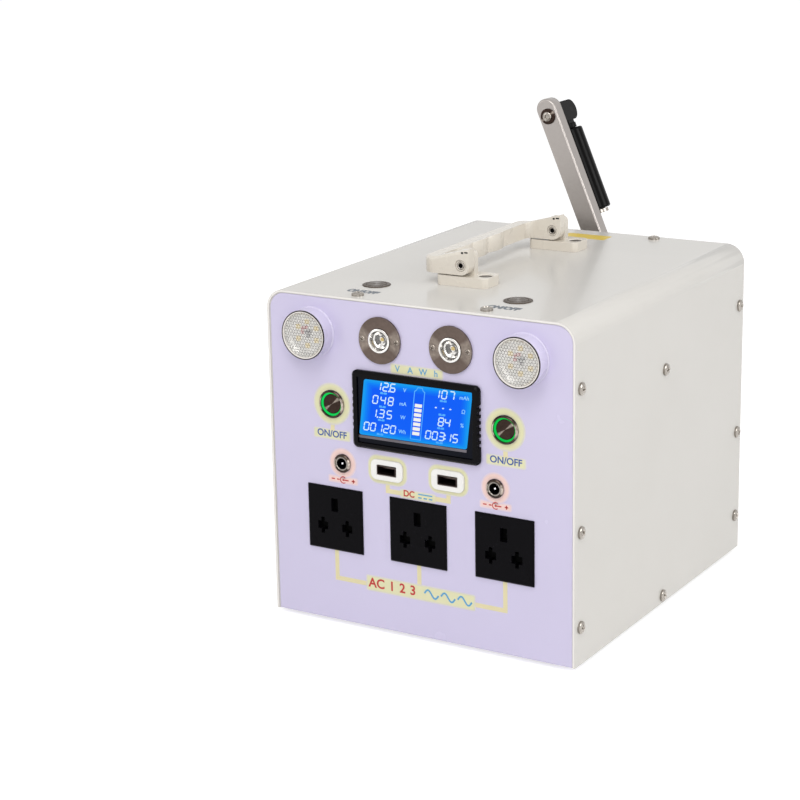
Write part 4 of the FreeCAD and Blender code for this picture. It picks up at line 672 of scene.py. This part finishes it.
def lens_lamps():
    """A tube painted lilac for the panel's reflection in its chrome, with a dark rim; behind its pebbled lens is
    a silvered bowl with six led chips.
    """
    lens_radius = next(panel_pair("lens_lamp_lenses"))[2]
    tube = lens_radius + 1.2
    for side, place, ring, length, body in panel_pair("lens_lamp_housings"):
        rim, floor = length - 0.5, length - 5.6
        profile = [(0, floor - 0.4), (lens_radius + 0.4, floor - 0.4), (lens_radius + 0.4, rim), (tube, rim)]
        profile += [(tube, 0.9), (ring - 0.3, 0.7), (ring, 0.4), (ring, 0.02), (12.4, 0.02), (12.4, -body)]
        housing = turned(f"lens_lamp_{side}", profile + [(0, -body)], place, MIRRORED_PANEL_TUBE)
        dark = [(tube - 0.75, rim - 0.5), (tube - 0.75, length), (tube, length), (tube + 0.02, rim - 0.3)]
        turned(f"lens_lamp_rim_{side}", dark, place, DARK_RIM_AND_REFLECTIONS, soften=0.2)
        pale = [(lens_radius - 0.1, rim - 1), (lens_radius - 0.1, length - 0.25)]
        pale += [(tube - 0.7, length - 0.1), (tube - 0.7, rim - 1)]
        turned(f"lens_lamp_seal_{side}", pale, place, PALE_RIM)
        bowl = [(0, floor - 0.3), (0, floor), (8.8, floor + 0.2), (11.6, floor + 1.3), (13.4, floor + 3.0)]
        bowl += [(lens_radius, floor + 4.6), (lens_radius, floor - 0.3), (0, floor - 0.3)]
        turned(f"lens_lamp_bowl_{side}", bowl, place, BOWL)
        angles = [math.radians(60 * number + 30) for number in range(6)]
        chips = [box_outline(2.9, 2.9, 7.6 * math.cos(a), 7.6 * math.sin(a), 0.5) for a in angles]
        plates(f"lens_lamp_chips_{side}", chips, place, LED_CHIP, 0.7, low=floor + 0.1)
        # Painted dark reflections: three dark squares on the bowl stand for the dark surroundings that the lens
        # shows.
        refracted_darks = [box_outline(2.0, 2.0, x, y, 0.3) for x, y in ((-0.6, 1.0), (1.8, 1.4), (0.6, -1.4))]
        plates(f"lens_lamp_core_{side}", refracted_darks, place, DARK_RIM_AND_REFLECTIONS, 0.8, low=floor)
        pinks = [box_outline(1.9, 1.9, x, y, 0.3) for x, y in ((-3.2, 3.2), (-3.6, 0.6), (-0.8, 3.8))]
        plates(f"lens_lamp_core_leds_{side}", pinks, place, INK_RED, 0.7, low=floor)
        glass = pebbled_lens(f"lens_lamp_lens_{side}", place, lens_radius - 0.12, length - 2.6, length)
        if side == "left":
            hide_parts("lens_lamp_housings")
            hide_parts("lens_lamp_lenses")


def pebbled_lens(name, place, radius, low, high, pitch=2.0, pebble=0.42, crown=0.8):
    """A shallow domed lens whose face is a hexagonal field of small pillows."""
    shape = bmesh.new()
    ball = (radius**2 + crown**2) / (2 * crown)
    base = high - crown - pebble

    def dome(x, y):
        return base + math.sqrt(max(ball**2 - x * x - y * y, 0.0)) - (ball - crown)

    def corner_of(x, y, rise):
        far = math.hypot(x, y)
        if far > radius:
            x, y = x * radius / far, y * radius / far
        return shape.verts.new((x, y, dome(x, y) + pebble * rise))

    cells = int(radius / pitch) + 2
    corners = [math.radians(60 * corner + 30) for corner in range(6)]
    for row in range(-cells, cells + 1):
        for column in range(-cells, cells + 1):
            x = pitch * (column + 0.5 * (row % 2))
            y = pitch * row * math.sqrt(0.75)
            if math.hypot(x, y) > radius + pitch * 0.1:
                continue
            rings = []
            for share, rise in ((1.0, 0.0), (0.8, 0.5), (0.48, 0.86)):
                reach = share * pitch * 0.577
                rings.append([corner_of(x + reach * math.cos(a), y + reach * math.sin(a), rise) for a in corners])
            rings.append([corner_of(x, y, 1.0)])
            # The outer ring of each pebble takes the painted shade of the valleys.
            for face in bridge(shape, rings[:2]):
                face.material_index = 1
            bridge(shape, rings[1:])
    bmesh.ops.remove_doubles(shape, verts=shape.verts, dist=0.001)
    bmesh.ops.dissolve_degenerate(shape, edges=shape.edges, dist=0.002)
    body = [(0, low), (radius, low), (radius, high - crown - pebble)]
    body += [(radius * (1 - step / 8), dome(radius * (1 - step / 8), 0) - 0.05) for step in range(9)]
    for face in lathe(shape, body):
        face.material_index = 2
    piece = add_shape(name, shape, place, PEBBLE, sharp=60)
    piece.data.materials.append(PEBBLE_SHADE)
    piece.data.materials.append(LENS_BACK)
    return piece


def spot_lamps(flange=1.6):
    """A spun steel flange with two screws round a silvered cup and a bull's-eye lens."""
    for side, place, radius, top, body in panel_pair("spot_lamp_bodies"):
        profile = [(7.7, 0.02), (radius, 0.02), (radius, flange), (7.7, flange)]
        piece = turned(f"spot_lamp_{side}", profile, place, SPUN_STEEL, soften=0.35)
        cup = [(0, -2.6), (3.2, -2.4), (5.4, -0.6), (6.3, top - 0.1), (6.9, top), (7.6, top - 0.35)]
        cup += [(7.6, 0.02), (8.4, 0.0), (8.4, -body), (0, -body)]
        turned(f"spot_lamp_cup_{side}", cup, place, REFLECTOR, soften=0.15)
        eye = [(0, -0.6), (5.4, -0.6), (5.6, 0.6), (4.6, 1.0), (3.7, 1.5), (2.2, 2.2), (0, 2.45)]
        glass = turned(f"spot_lamp_lens_{side}", eye, place, CLEAR_EYE, soften=0.6)
        square = [box_outline(2.0, 2.0, 0, 0, 0.3)]
        chip = plates(f"spot_lamp_chip_{side}", square, place, LED_CHIP, 0.5, low=-2.3)
        # Painted dark reflections: dark crescents on the silvered cup, behind the bull's-eye lens.
        dark_reflections = [arc_outline(2.5, 4.6, 150, 235), arc_outline(2.0, 2.4, -60, 120)]
        dark_reflections.append(arc_outline(3.4, 4.9, -70, -25))
        plates(f"spot_lamp_dark_reflections_{side}", dark_reflections, place, DARK_RIM_AND_REFLECTIONS, 0.9, low=-2.0)
        for number, x in enumerate((-12.1, 12.1)):
            spot = moved(place, x, 0, flange - 0.9, turn=0.6 + x)
            screw_piece(f"spot_screw_{side}_{number + 1}", spot, 1.9, 1.5, material=SPOT_SCREW, reach=0.6)
        if side == "left":
            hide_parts("spot_lamp_bodies")
            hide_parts("spot_lamp_lenses")


# ---- Push buttons ----


def button_bodies():
    """Turned steel flanges: the front ones carry a sunk green light ring, the top ones are plain."""
    first = None
    for name, material, top, inner in (("front", BUTTON_STEEL, 1.9, 7.55), ("top", LID_STEEL, 0.7, 6.45)):
        for side, place in button_places(name):
            profile = [(inner, -10), (inner, top - 0.2), (inner + 0.25, top), (8.2, top), (9.0, top * 0.55)]
            profile += [(9.0, 0.02), (7.75, 0.0), (7.75, -22), (5, -22), (5, -10)]
            flange = f"{name}_button_body_{side}"
            piece = turned(flange, profile, place, material, soften=0.15)
            first = first or piece
            if name == "front":
                light = [(6.4, -2.0), (6.4, 0.1), (7.5, 0.6), (7.5, -2.0)]
                turned(f"light_ring_{side}", light, place, LED_GREEN, soften=0.1)
    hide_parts("button_barrels")


def button_caps():
    """Slightly domed caps, which move with their buttons; the front ones sit a little below their rings."""
    for name, material in (("front", DARK_CAP), ("top", LID_STEEL)):
        for side, place in button_places(name):
            node = f"{name}_button_{side}"
            low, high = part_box(node)
            proud = 0.4 if name == "front" else (high.z - surface_top) / MM
            radius = (high.x - low.x) / 2 / MM
            profile = [(0, proud - 8), (radius, proud - 8), (radius, proud - 0.35), (radius - 0.4, proud - 0.1)]
            profile += [(radius * 0.6, proud - 0.05), (0, proud)]
            piece = turned(f"{node}_cap", profile, place, material, body=node, soften=0.1)
            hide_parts(node)


# ---- Meter ----

# The segments of a figure, from one end (x, y) to the other, on a grid of half its width and height.
SEGMENT_ENDS = {"a": (-1, 1, 1, 1), "b": (1, 1, 1, 0), "c": (1, 0, 1, -1), "d": (-1, -1, 1, -1)}
SEGMENT_ENDS |= {"e": (-1, 0, -1, -1), "f": (-1, 1, -1, 0), "g": (-1, 0, 1, 0)}
LIT = {"0": "abcdef", "1": "bc", "2": "abdeg", "3": "abcdg", "4": "bcfg", "5": "acdfg", "6": "acdefg"}
LIT |= {"7": "abc", "8": "abcdefg", "9": "abcdfg", "-": "g"}


def digit_outlines(figure, width, tall, stroke, x, y):
    """Outlines of the lit segments of one seven-segment figure about (x, y)."""
    half, rise, s = width / 2, tall / 2, stroke / 2
    gap = stroke * 0.12
    outlines = []
    for segment in LIT[figure]:
        x0, y0, x1, y1 = SEGMENT_ENDS[segment]
        start, end = Vector((x0 * half, y0 * rise)), Vector((x1 * half, y1 * rise))
        along = (end - start).normalized()
        across = Vector((-along.y, along.x))
        start, end = start + along * gap, end - along * gap
        tips = [start, start + (along + across) * s, end - (along - across) * s]
        tips += [end, end - (along + across) * s, start + (along - across) * s]
        outlines.append([(x + (point.x + point.y * 0.08), y + point.y) for point in tips])
    return outlines


def figures(words, size, x, y, pitch):
    """Outlines of a row of figures that starts at x; a point or colon takes no width of its own."""
    _, tall, stroke = size
    dots = {".": (-tall / 2,), ":": (-tall * 0.22, tall * 0.22)}
    outlines = []
    place = x
    for letter in words:
        for rise in dots.get(letter, ()):
            outlines.append(box_outline(stroke * 1.3, stroke * 1.3, place - pitch * 0.5, y + rise))
        if letter not in dots:
            outlines += digit_outlines(letter, *size, place, y)
            place += pitch
    return outlines


def meter(wide=76.0, tall=35.8, rows=(14.5, 5.8, -2.8, -12.0), gauge=2.0):
    """The notched black bezel round a backlit display of figures and a battery gauge."""
    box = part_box("meter_display")
    glass = facing(centre_of(box, y=box[0].y), FRONT)
    # The lit area leans a little in its window, as it does in such meters.
    lcd = glass @ Matrix(((1, 0.12, 0, 0.3 * MM), (0.01, 1, 0, 2.3 * MM), (0, 0, 1, 0), (0, 0, 0, 1)))
    for number in range(5):
        outer, inner = (box_outline(wide - 2.6 * k, tall - 2.0 * k, 0, 0, 1.4) for k in (number, number + 1))
        frame_plates(f"display_glow_{number + 1}", outer, inner, lcd, LCD_GLOW[number], 0.2)
    plates("display_glow_middle", [inner], lcd, LCD_GLOW[-1], 0.2)
    plates("display_sill", [box_outline(wide + 0.8, 1.7, -0.4, -tall / 2 - 1.2, 0.2)], lcd, DISPLAY_EDGE, 0.12)
    size, dash = (3.3, 5.0, 0.72), (1.8, 4.0, 0.8)
    readings = [("12.6", size, -27.2, 0, 5.1), ("048", size, -28.6, 1, 5.5), ("1.35", size, -28.8, 2, 5.5)]
    readings += [("00120", size, -33.3, 3, 4.75), ("107", size, 14.0, 0, 5.15), ("---", dash, 14.2, 1, 5.0)]
    readings += [("84", size, 18.6, 2, 4.5), ("003:15", size, 10.6, 3, 4.7)]
    lit = []
    for words, shape, x, row, pitch in readings:
        lit += figures(words, shape, x, rows[row], pitch)
    plates("display_figures", lit, lcd, LCD_WHITE, 0.08, low=0.2)
    bars = [box_outline(5.0, 2.1, gauge, -12.4 + 2.97 * bar, 0.15) for bar in range(7)]
    plates("display_gauge_bars", bars, lcd, LCD_BARS, 0.08, low=0.2)
    cell = [(3.8, -16.4), (3.8, 14.4), (2.4, 15.4), (1.6, 17.0)]
    cell += [(-x, y) for x, y in reversed(cell)]
    outer = [(gauge + x, y) for x, y in cell]
    inner = [(gauge + x * 0.86, y * 0.975) for x, y in cell]
    frame_plates("display_gauge", outer, inner, lcd, LCD_FAINT, 0.06, low=0.2)
    marks = []
    for column in (-23.2, 18.8):
        for row in rows:
            marks += [box_outline(2.0, 1.3, column + shift, row - 4.1, 0.3) for shift in (-1.35, 1.35)]
            marks.append(box_outline(0.7, 0.5, column, row - 4.4))
    plates("display_captions", marks, lcd, LCD_FAINT, 0.05, low=0.2)
    units = (("V", -8.5, 0), ("mA", -8.9, 1), ("W", -8.1, 2), ("Wh", -7.7, 3))
    units += (("mAh", 32.9, 0), ("Ω", 33.2, 1), ("%", 33.2, 2))
    for words, x, row in units:
        name = f"display_unit_{'left' if x < 0 else 'right'}_{row + 1}"
        lettering(name, words, moved(lcd, x, rows[row] - 0.6, 0.2), 2.4, LCD_PALE, bold=0.04)


# ---- Jacks and sockets ----


def dc_jacks():
    """A turned nut round a bright sleeve, a black barrel and its centre pin."""
    for side, place, radius, nut, body in panel_pair("dc_jacks"):
        profile = [(4.6, 0.02), (radius, 0.02), (radius, nut * 0.62), (radius - 0.8, nut), (4.6, nut)]
        piece = turned(f"dc_nut_{side}", profile, place, BUTTON_STEEL, soften=0.2)
        sleeve = [(3.5, -2), (3.5, nut - 0.4), (3.8, nut - 0.15), (4.5, nut - 0.3), (4.5, 0), (4.1, -2)]
        turned(f"dc_sleeve_{side}", sleeve, place, SLEEVE, soften=0.1)
        barrel = [(0, nut - 9), (3.0, nut - 9), (3.0, nut - 0.9), (3.45, nut - 0.6), (3.45, -2), (3.85, -2.2)]
        barrel += [(3.85, -body), (0, -body)]
        turned(f"dc_barrel_{side}", barrel, place, HOLE, soften=0.1)
        pin = [(1.05, nut - 9), (1.05, nut - 1.8), (0.6, nut - 1.1), (0, nut - 1.0)]
        turned(f"dc_pin_{side}", pin, place, CHROME, soften=0.2, segments=32)
        if side == "left":
            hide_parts("dc_jacks")


def sockets():
    """Black universal sockets, their slots closed inside by shutters."""
    for name in ("left", "middle", "right"):
        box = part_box(f"ac_socket_{name}")
        place = facing(centre_of(box, y=box[0].y + 5 * MM), FRONT)
        shutters = [box_outline(4.6, 8.4, 0, 9.2)] + [box_outline(7.2, 4.8, x, -5.2) for x in (-9, 9)]
        plates(f"socket_shutters_{name}", shutters, place, HOLE, 1.0)


# ---- Prints on the panel and the lid ----

PRINT_FLOOR = on_panel(0, 0)
SWITCH_SIGNS = (-61.7, 61.4)
SWITCH_HEIGHT = 123.4
JACK_SIGNS = (-54.2, 54.2)
JACK_HEIGHT = 94.6
PORT_PITCH = 21.6
DC_HEIGHT = 92.4
METER_SIGN_HEIGHT = 171.4
LINE = 3.0  # width of the pale lines


def round_halo(name, inner, outer, place, inks):
    """A printed ring that fades out: its inner part in full ink, then two thin paler rings."""
    fade = (outer - inner) / 6
    edges = (inner, outer - 2 * fade, outer - fade, outer)
    for number, ink in enumerate(inks):
        low, high = edges[number], edges[number + 1]
        turned(f"{name}_{number + 1}", [(low, 0), (low, 0.05), (high, 0.05), (high, 0)], place, ink)


def label_ground(name, wide, tall, x, height, inks=YELLOWS, fade=0.6, corner=0.8):
    """A printed ground for signs, paler along its edges, about a place on the front panel."""
    for number, ink in enumerate(reversed(inks)):
        grow = fade * 2 * (1 - number)
        outline = box_outline(wide + grow, tall + grow, x, height, corner + max(grow, 0) / 2)
        plates(f"{name}_{number + 1}", [outline], PRINT_FLOOR, ink, 0.03 + 0.01 * number)


def front_prints():
    """Pale printed halos and lines that tie the buttons and sockets to their figures."""
    for side, place in button_places("front"):
        round_halo(f"button_halo_{side}", 9.1, 13.6, place, YELLOWS)
    for side, place, *_ in panel_pair("dc_jacks"):
        round_halo(f"jack_halo_{side}", 6.1, 10.0, place, PINKS)
    for side, x in zip(SIDES, (-PORT_PITCH, PORT_PITCH)):
        for number, (wide, narrow) in enumerate(((3.6, 0.0), (4.6, 3.6), (5.6, 4.6))):
            outer, inner = (box_outline(22.8 + w, 13.2 + w, x, 105.6, 4.0 + w / 2) for w in (wide, narrow))
            frame_plates(f"usb_halo_{side}_{number + 1}", outer, inner, PRINT_FLOOR, YELLOWS[number], 0.05)
    button_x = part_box("front_button_right")[0].x / MM + 6.3
    stems, lines = [], [box_outline(LINE, 13.0, 0, 40.7)]
    for way in (-1, 1):
        stems.append(box_outline(LINE, 4.6, way * button_x, 128.2))
        stems.append(box_outline(LINE, 6.0, way * PORT_PITCH, 93.9))
        stems.append(box_outline(7.9, LINE, way * 16.15, DC_HEIGHT))
        lines.append(box_outline(LINE, 20.1, way * 60.4, 37.15))
        lines.append(box_outline(20.5, LINE, way * 48.65, 28.6))
    plates("label_stems", stems, PRINT_FLOOR, INK_YELLOW, 0.045)
    label_ground("meter_label_ground", 36.0, 5.4, 0.5, METER_SIGN_HEIGHT)
    label_ground("usb_label_ground", 24.5, 4.6, 0, DC_HEIGHT)
    for side, x in zip(SIDES, SWITCH_SIGNS):
        label_ground(f"switch_label_ground_{side}", 26.0, 5.6, x, SWITCH_HEIGHT)
    for side, x in zip(SIDES, JACK_SIGNS):
        label_ground(f"jack_label_ground_{side}", 21.0, 4.0, x, JACK_HEIGHT, PINKS)
    plates("socket_lines", lines, PRINT_FLOOR, INK_YELLOW, 0.02)
    label_ground("socket_label_ground", 77.5, 9.4, 0.4, 29.5)


def wave_outline(x, y, length, tall, stroke, steps=24):
    """Outline of one period of a sine wave drawn with a pen of that width."""
    upper, lower = [], []
    for step in range(steps + 1):
        t = step / steps
        px = x + length * (t - 0.5)
        py = y + tall / 2 * math.sin(2 * math.pi * t)
        slope = tall * math.pi / length * math.cos(2 * math.pi * t)
        across = Vector((-slope, 1)).normalized() * stroke / 2
        upper.append((px + across.x, py + across.y))
        lower.append((px - across.x, py - across.y))
    return lower + upper[::-1]


def polarity_outlines(x, y, size):
    """A generic centre-positive mark: minus, a cup round a dot, plus, joined by a line."""
    bar, stroke = size * 0.62, size * 0.2
    strokes = ((bar, stroke, -1.9), (bar, stroke, 1.9), (stroke, bar, 1.9))
    strokes += ((size * 0.9, stroke, 0.55), (size * 0.5, stroke, -0.95))
    parts = [box_outline(wide, tall, x + size * shift, y) for wide, tall, shift in strokes]
    parts.append(box_outline(size * 0.34, size * 0.34, x, y, size * 0.16))
    return parts + [arc_outline(size * 0.46, size * 0.62, 50, 310, 16, x, y)]


def front_signs():
    """Only generic signs: ON and OFF, plain figures, units, a sine wave and polarity marks."""
    for side, x in zip(SIDES, SWITCH_SIGNS):
        lettering(f"switch_sign_{side}", "ON/OFF", on_panel(x, SWITCH_HEIGHT + 0.2), 4.2, INK_BLUE, bold=0.14)
    for number, words in enumerate("VAWh"):
        place = on_panel(-13.0 + 9.0 * number, METER_SIGN_HEIGHT)
        lettering(f"meter_sign_{number + 1}", words, place, 3.8, INK_SKY, bold=0.1)
    for side, x in zip(SIDES, JACK_SIGNS):
        marks = polarity_outlines(x, JACK_HEIGHT, 3.9)
        plates(f"polarity_sign_{side}", marks, PRINT_FLOOR, INK_RED, 0.06, low=0.04)
    lettering("usb_sign", "DC", on_panel(-6.4, 92.6), 3.9, INK_RED, 0.1, bold=0.16)
    direct = [box_outline(10.0, 0.8, 5.2, 93.6)] + [box_outline(2.4, 0.8, 5.2 + x, 91.4) for x in (-3.8, 0, 3.8)]
    plates("direct_current_sign", direct, PRINT_FLOOR, INK_SKY, 0.1)
    for number, (words, x) in enumerate((("AC", -31.2), ("1", -20.0), ("2", -12.4), ("3", -4.8))):
        lettering(f"socket_sign_{number + 1}", words, on_panel(x, 29.6), 6.0, INK_RED, 0.1, bold=0.2)
    waves = [wave_outline(x, 29.6, 10.0, 5.0, 1.15) for x in (8.6, 20.4, 32.2)]
    plates("mains_waves", waves, PRINT_FLOOR, INK_SKY, 0.1)


def top_signs():
    """ON and OFF by the top buttons, and a bare yellow sticker in front of the crank."""
    for side, x in zip(SIDES, (-47.6, 51.0)):
        narrow = on_lid(x, -107.5) @ Matrix.Diagonal((0.76, 1.1, 1, 1))
        lettering(f"lid_sign_{side}", "ON/OFF", narrow, 5.4, INK_SLATE, bold=0.5)
    plates("sticker", [box_outline(32.0, 13.0, 0, 106.0, 0.8)], on_lid(0, 0), STICKER, 0.12)


# ---- Carry handle ----


def pivot_screws():
    """Bright screws with dark hexagon sockets in the handle's pivots, and painted shade in the notches on its
    arms.
    """
    boxes = sorted(islands("handle_pivot_pins"), key=lambda pair: pair[0].y)
    for name, box in zip(("front", "rear"), boxes):
        face = box[0].y + 1.6 * MM
        length = (box[1].y - face) / MM
        place = facing(centre_of(box, y=face), FRONT)
        rim = [(1.4, 0.0), (1.4, 1.2), (1.7, 1.5), (2.3, 1.5), (2.6, 1.2), (2.6, 0.0)]
        piece = turned(f"pivot_screw_{name}", rim, place, SCREW, soften=0.15)
        turned(f"pivot_socket_{name}", [(0, 0.2), (1.4, 0.2), (1.4, 0.6), (0, 0.6)], place, HOLE)
        collar = [(2.6, 0.0), (2.6, 1.0), (2.8, 1.3), (3.3, 1.4), (3.38, 1.2), (3.38, 0.0)]
        turned(f"pivot_collar_{name}", collar, place, FINISHES["handle_plastic"], soften=0.1)
        turned(f"pivot_shank_{name}", [(0, -length), (2.45, -length), (2.45, 0.0), (0, 0.0)], place, SCREW)
        # Painted shade: two dark marks where the notch at the arm's upper corner lies in shadow.
        marks = [box_outline(1.5, 1.2, 1.4, 8.2, 0.3), box_outline(2.4, 0.9, 4.1, 8.6, 0.3)]
        plates(f"arm_notch_shade_{name}", marks, moved(place, z=1.6), HOLE, 0.1, body="carry_handle", low=-0.05)
        if name == "front":
            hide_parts("handle_pivot_pins")


def foot_screws():
    """Slotted screws sunk in the handle's feet."""
    first = None
    for number, (low, high) in enumerate(islands("handle_foot_screws")):
        seat = centre_of((low, high), z=high.z - 1.1 * MM)
        place = moved(facing(seat, UP), turn=0.5 + 0.8 * number)
        radius = (high.x - low.x) / 2 / MM - 0.05
        screw = screw_piece(f"foot_screw_{number + 1}", place, radius, 1.05, socket="slot", material=DARK_SCREW)
        first = first or screw
    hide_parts("handle_foot_screws")


# ---- Crank ----


def crank():
    """Heads with hexagon sockets on the hub's and the knuckle's screws."""
    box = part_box("crank_hub_screw")
    place = facing(centre_of(box, y=box[1].y - 4.0 * MM), BACK)
    screw_piece("crank_hub_screw_head", place, 4.6, 4.0, body="crank", socket="hexagon")
    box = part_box("knuckle_screw")
    place = facing(centre_of(box, y=box[0].y + 2.6 * MM), FRONT)
    washer = [(2.2, 0.02), (5.6, 0.02), (5.6, 0.75), (5.2, 1.0), (3.5, 1.0), (2.2, 0.9)]
    piece = turned("knuckle_washer", washer, place, DARK_CAP, body="crank", soften=0.2)
    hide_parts("knuckle_screw")
    head = moved(place, z=1.0)
    screw_piece("knuckle_screw_head", head, 3.3, 1.6, body="crank", socket="hexagon", reach=0.5)


# ---- Studio ----

WORLD_LIGHT = 0.5
FLOOR_SIZE = 30.0
FLOOR_HEIGHT = -0.0002  # just below the feet
FLOOR_GREY = 0.8
FLOOR_GLOW = 0.602
SOFTBOXES = {  # place, point it looks at, size in metres, watts
    "key": ((1.4, -1.9, 1.0), (0, 0, 0.12), 1.0, 10.5),
    "overhead": ((0.25, -0.9, 1.3), (0, 0, 0.16), 0.8, 7.5),
    "side": ((2.2, 0.3, 1.0), (0, 0, 0.12), 1.0, 14),
    "fill": ((-1.8, -1.6, 0.9), (0, 0, 0.12), 1.2, 5.5),
}
# The photograph's view: azimuth from the front towards the right, elevation and roll in radians.
AZIMUTH, ELEVATION, ROLL = 0.56543, 0.26372, -0.02378
CAMERA_PLACE = (0.64574, -1.20364, 0.50881)
CAMERA_LENS = 96.918
CAMERA_SHIFT = (0.04749, -0.02416)


def sees_background(tree):
    """A factor that is 1 for rays from the camera and for what metal and glass reflect or pass on."""
    path = tree.nodes.new("ShaderNodeLightPath").outputs
    seen = computed(tree, "MAXIMUM", path["Is Camera Ray"], path["Is Glossy Ray"])
    return computed(tree, "MAXIMUM", seen, path["Is Transmission Ray"])


def world():
    """Soft even light, with a white background behind the object."""
    made = bpy.data.worlds.new("studio")
    bpy.context.scene.world = made
    made.use_nodes = True
    tree = made.node_tree
    light = tree.nodes["Background"].inputs
    light["Color"].default_value = (1, 1, 1, 1)
    strength = computed(tree, "MULTIPLY_ADD", sees_background(tree), 1 - WORLD_LIGHT, WORLD_LIGHT)
    tree.links.new(strength, light["Strength"])


def studio_floor():
    """A plain pale floor that keeps the object's shadow and is white where the light reaches it."""
    bpy.ops.mesh.primitive_plane_add(size=FLOOR_SIZE, location=(0, 0, FLOOR_HEIGHT))
    plane = bpy.context.object
    plane.name = "floor"
    material = bpy.data.materials.new("pale floor")
    material.use_nodes = True
    tree = material.node_tree
    tree.nodes.clear()
    kinds = ("BsdfDiffuse", "Emission", "AddShader", "OutputMaterial")
    matt, glow, both, output = (tree.nodes.new("ShaderNode" + kind) for kind in kinds)
    for node, grey in ((matt, FLOOR_GREY), (glow, FLOOR_GLOW)):
        node.inputs["Color"].default_value = (grey, grey, grey, 1)
    tree.links.new(sees_background(tree), glow.inputs["Strength"])
    for node, socket in ((matt, both.inputs[0]), (glow, both.inputs[1]), (both, output.inputs["Surface"])):
        tree.links.new(node.outputs[0], socket)
    plane.data.materials.append(material)


def softboxes():
    """Square area lamps round the object."""
    for name, (place, target, size, watts) in SOFTBOXES.items():
        light = bpy.data.lights.new(name, "AREA")
        light.size = size
        light.energy = watts
        lamp = bpy.data.objects.new(name, light)
        bpy.context.scene.collection.objects.link(lamp)
        lamp.location = place
        lamp.rotation_euler = (Vector(target) - Vector(place)).to_track_quat("-Z", "Y").to_euler()


def camera():
    """The photograph's view: from the front right, a little above the case."""
    view = bpy.data.cameras.new("camera")
    view.sensor_width = 36
    view.lens = CAMERA_LENS
    view.shift_x, view.shift_y = CAMERA_SHIFT
    view.clip_start = 0.05
    made = bpy.data.objects.new("camera", view)
    bpy.context.scene.collection.objects.link(made)
    turn = Matrix.Rotation(AZIMUTH, 4, "Z") @ Matrix.Rotation(math.pi / 2 - ELEVATION, 4, "X")
    made.matrix_world = Matrix.Translation(CAMERA_PLACE) @ turn @ Matrix.Rotation(ROLL, 4, "Z")
    bpy.context.scene.camera = made


finish_nodes()
case()
lens_lamps()
spot_lamps()
button_bodies()
button_caps()
meter()
dc_jacks()
sockets()
front_prints()
front_signs()
top_signs()
pivot_screws()
foot_screws()
crank()

world()
studio_floor()
softboxes()
camera()
bpy.context.scene.view_settings.view_transform = "Standard"
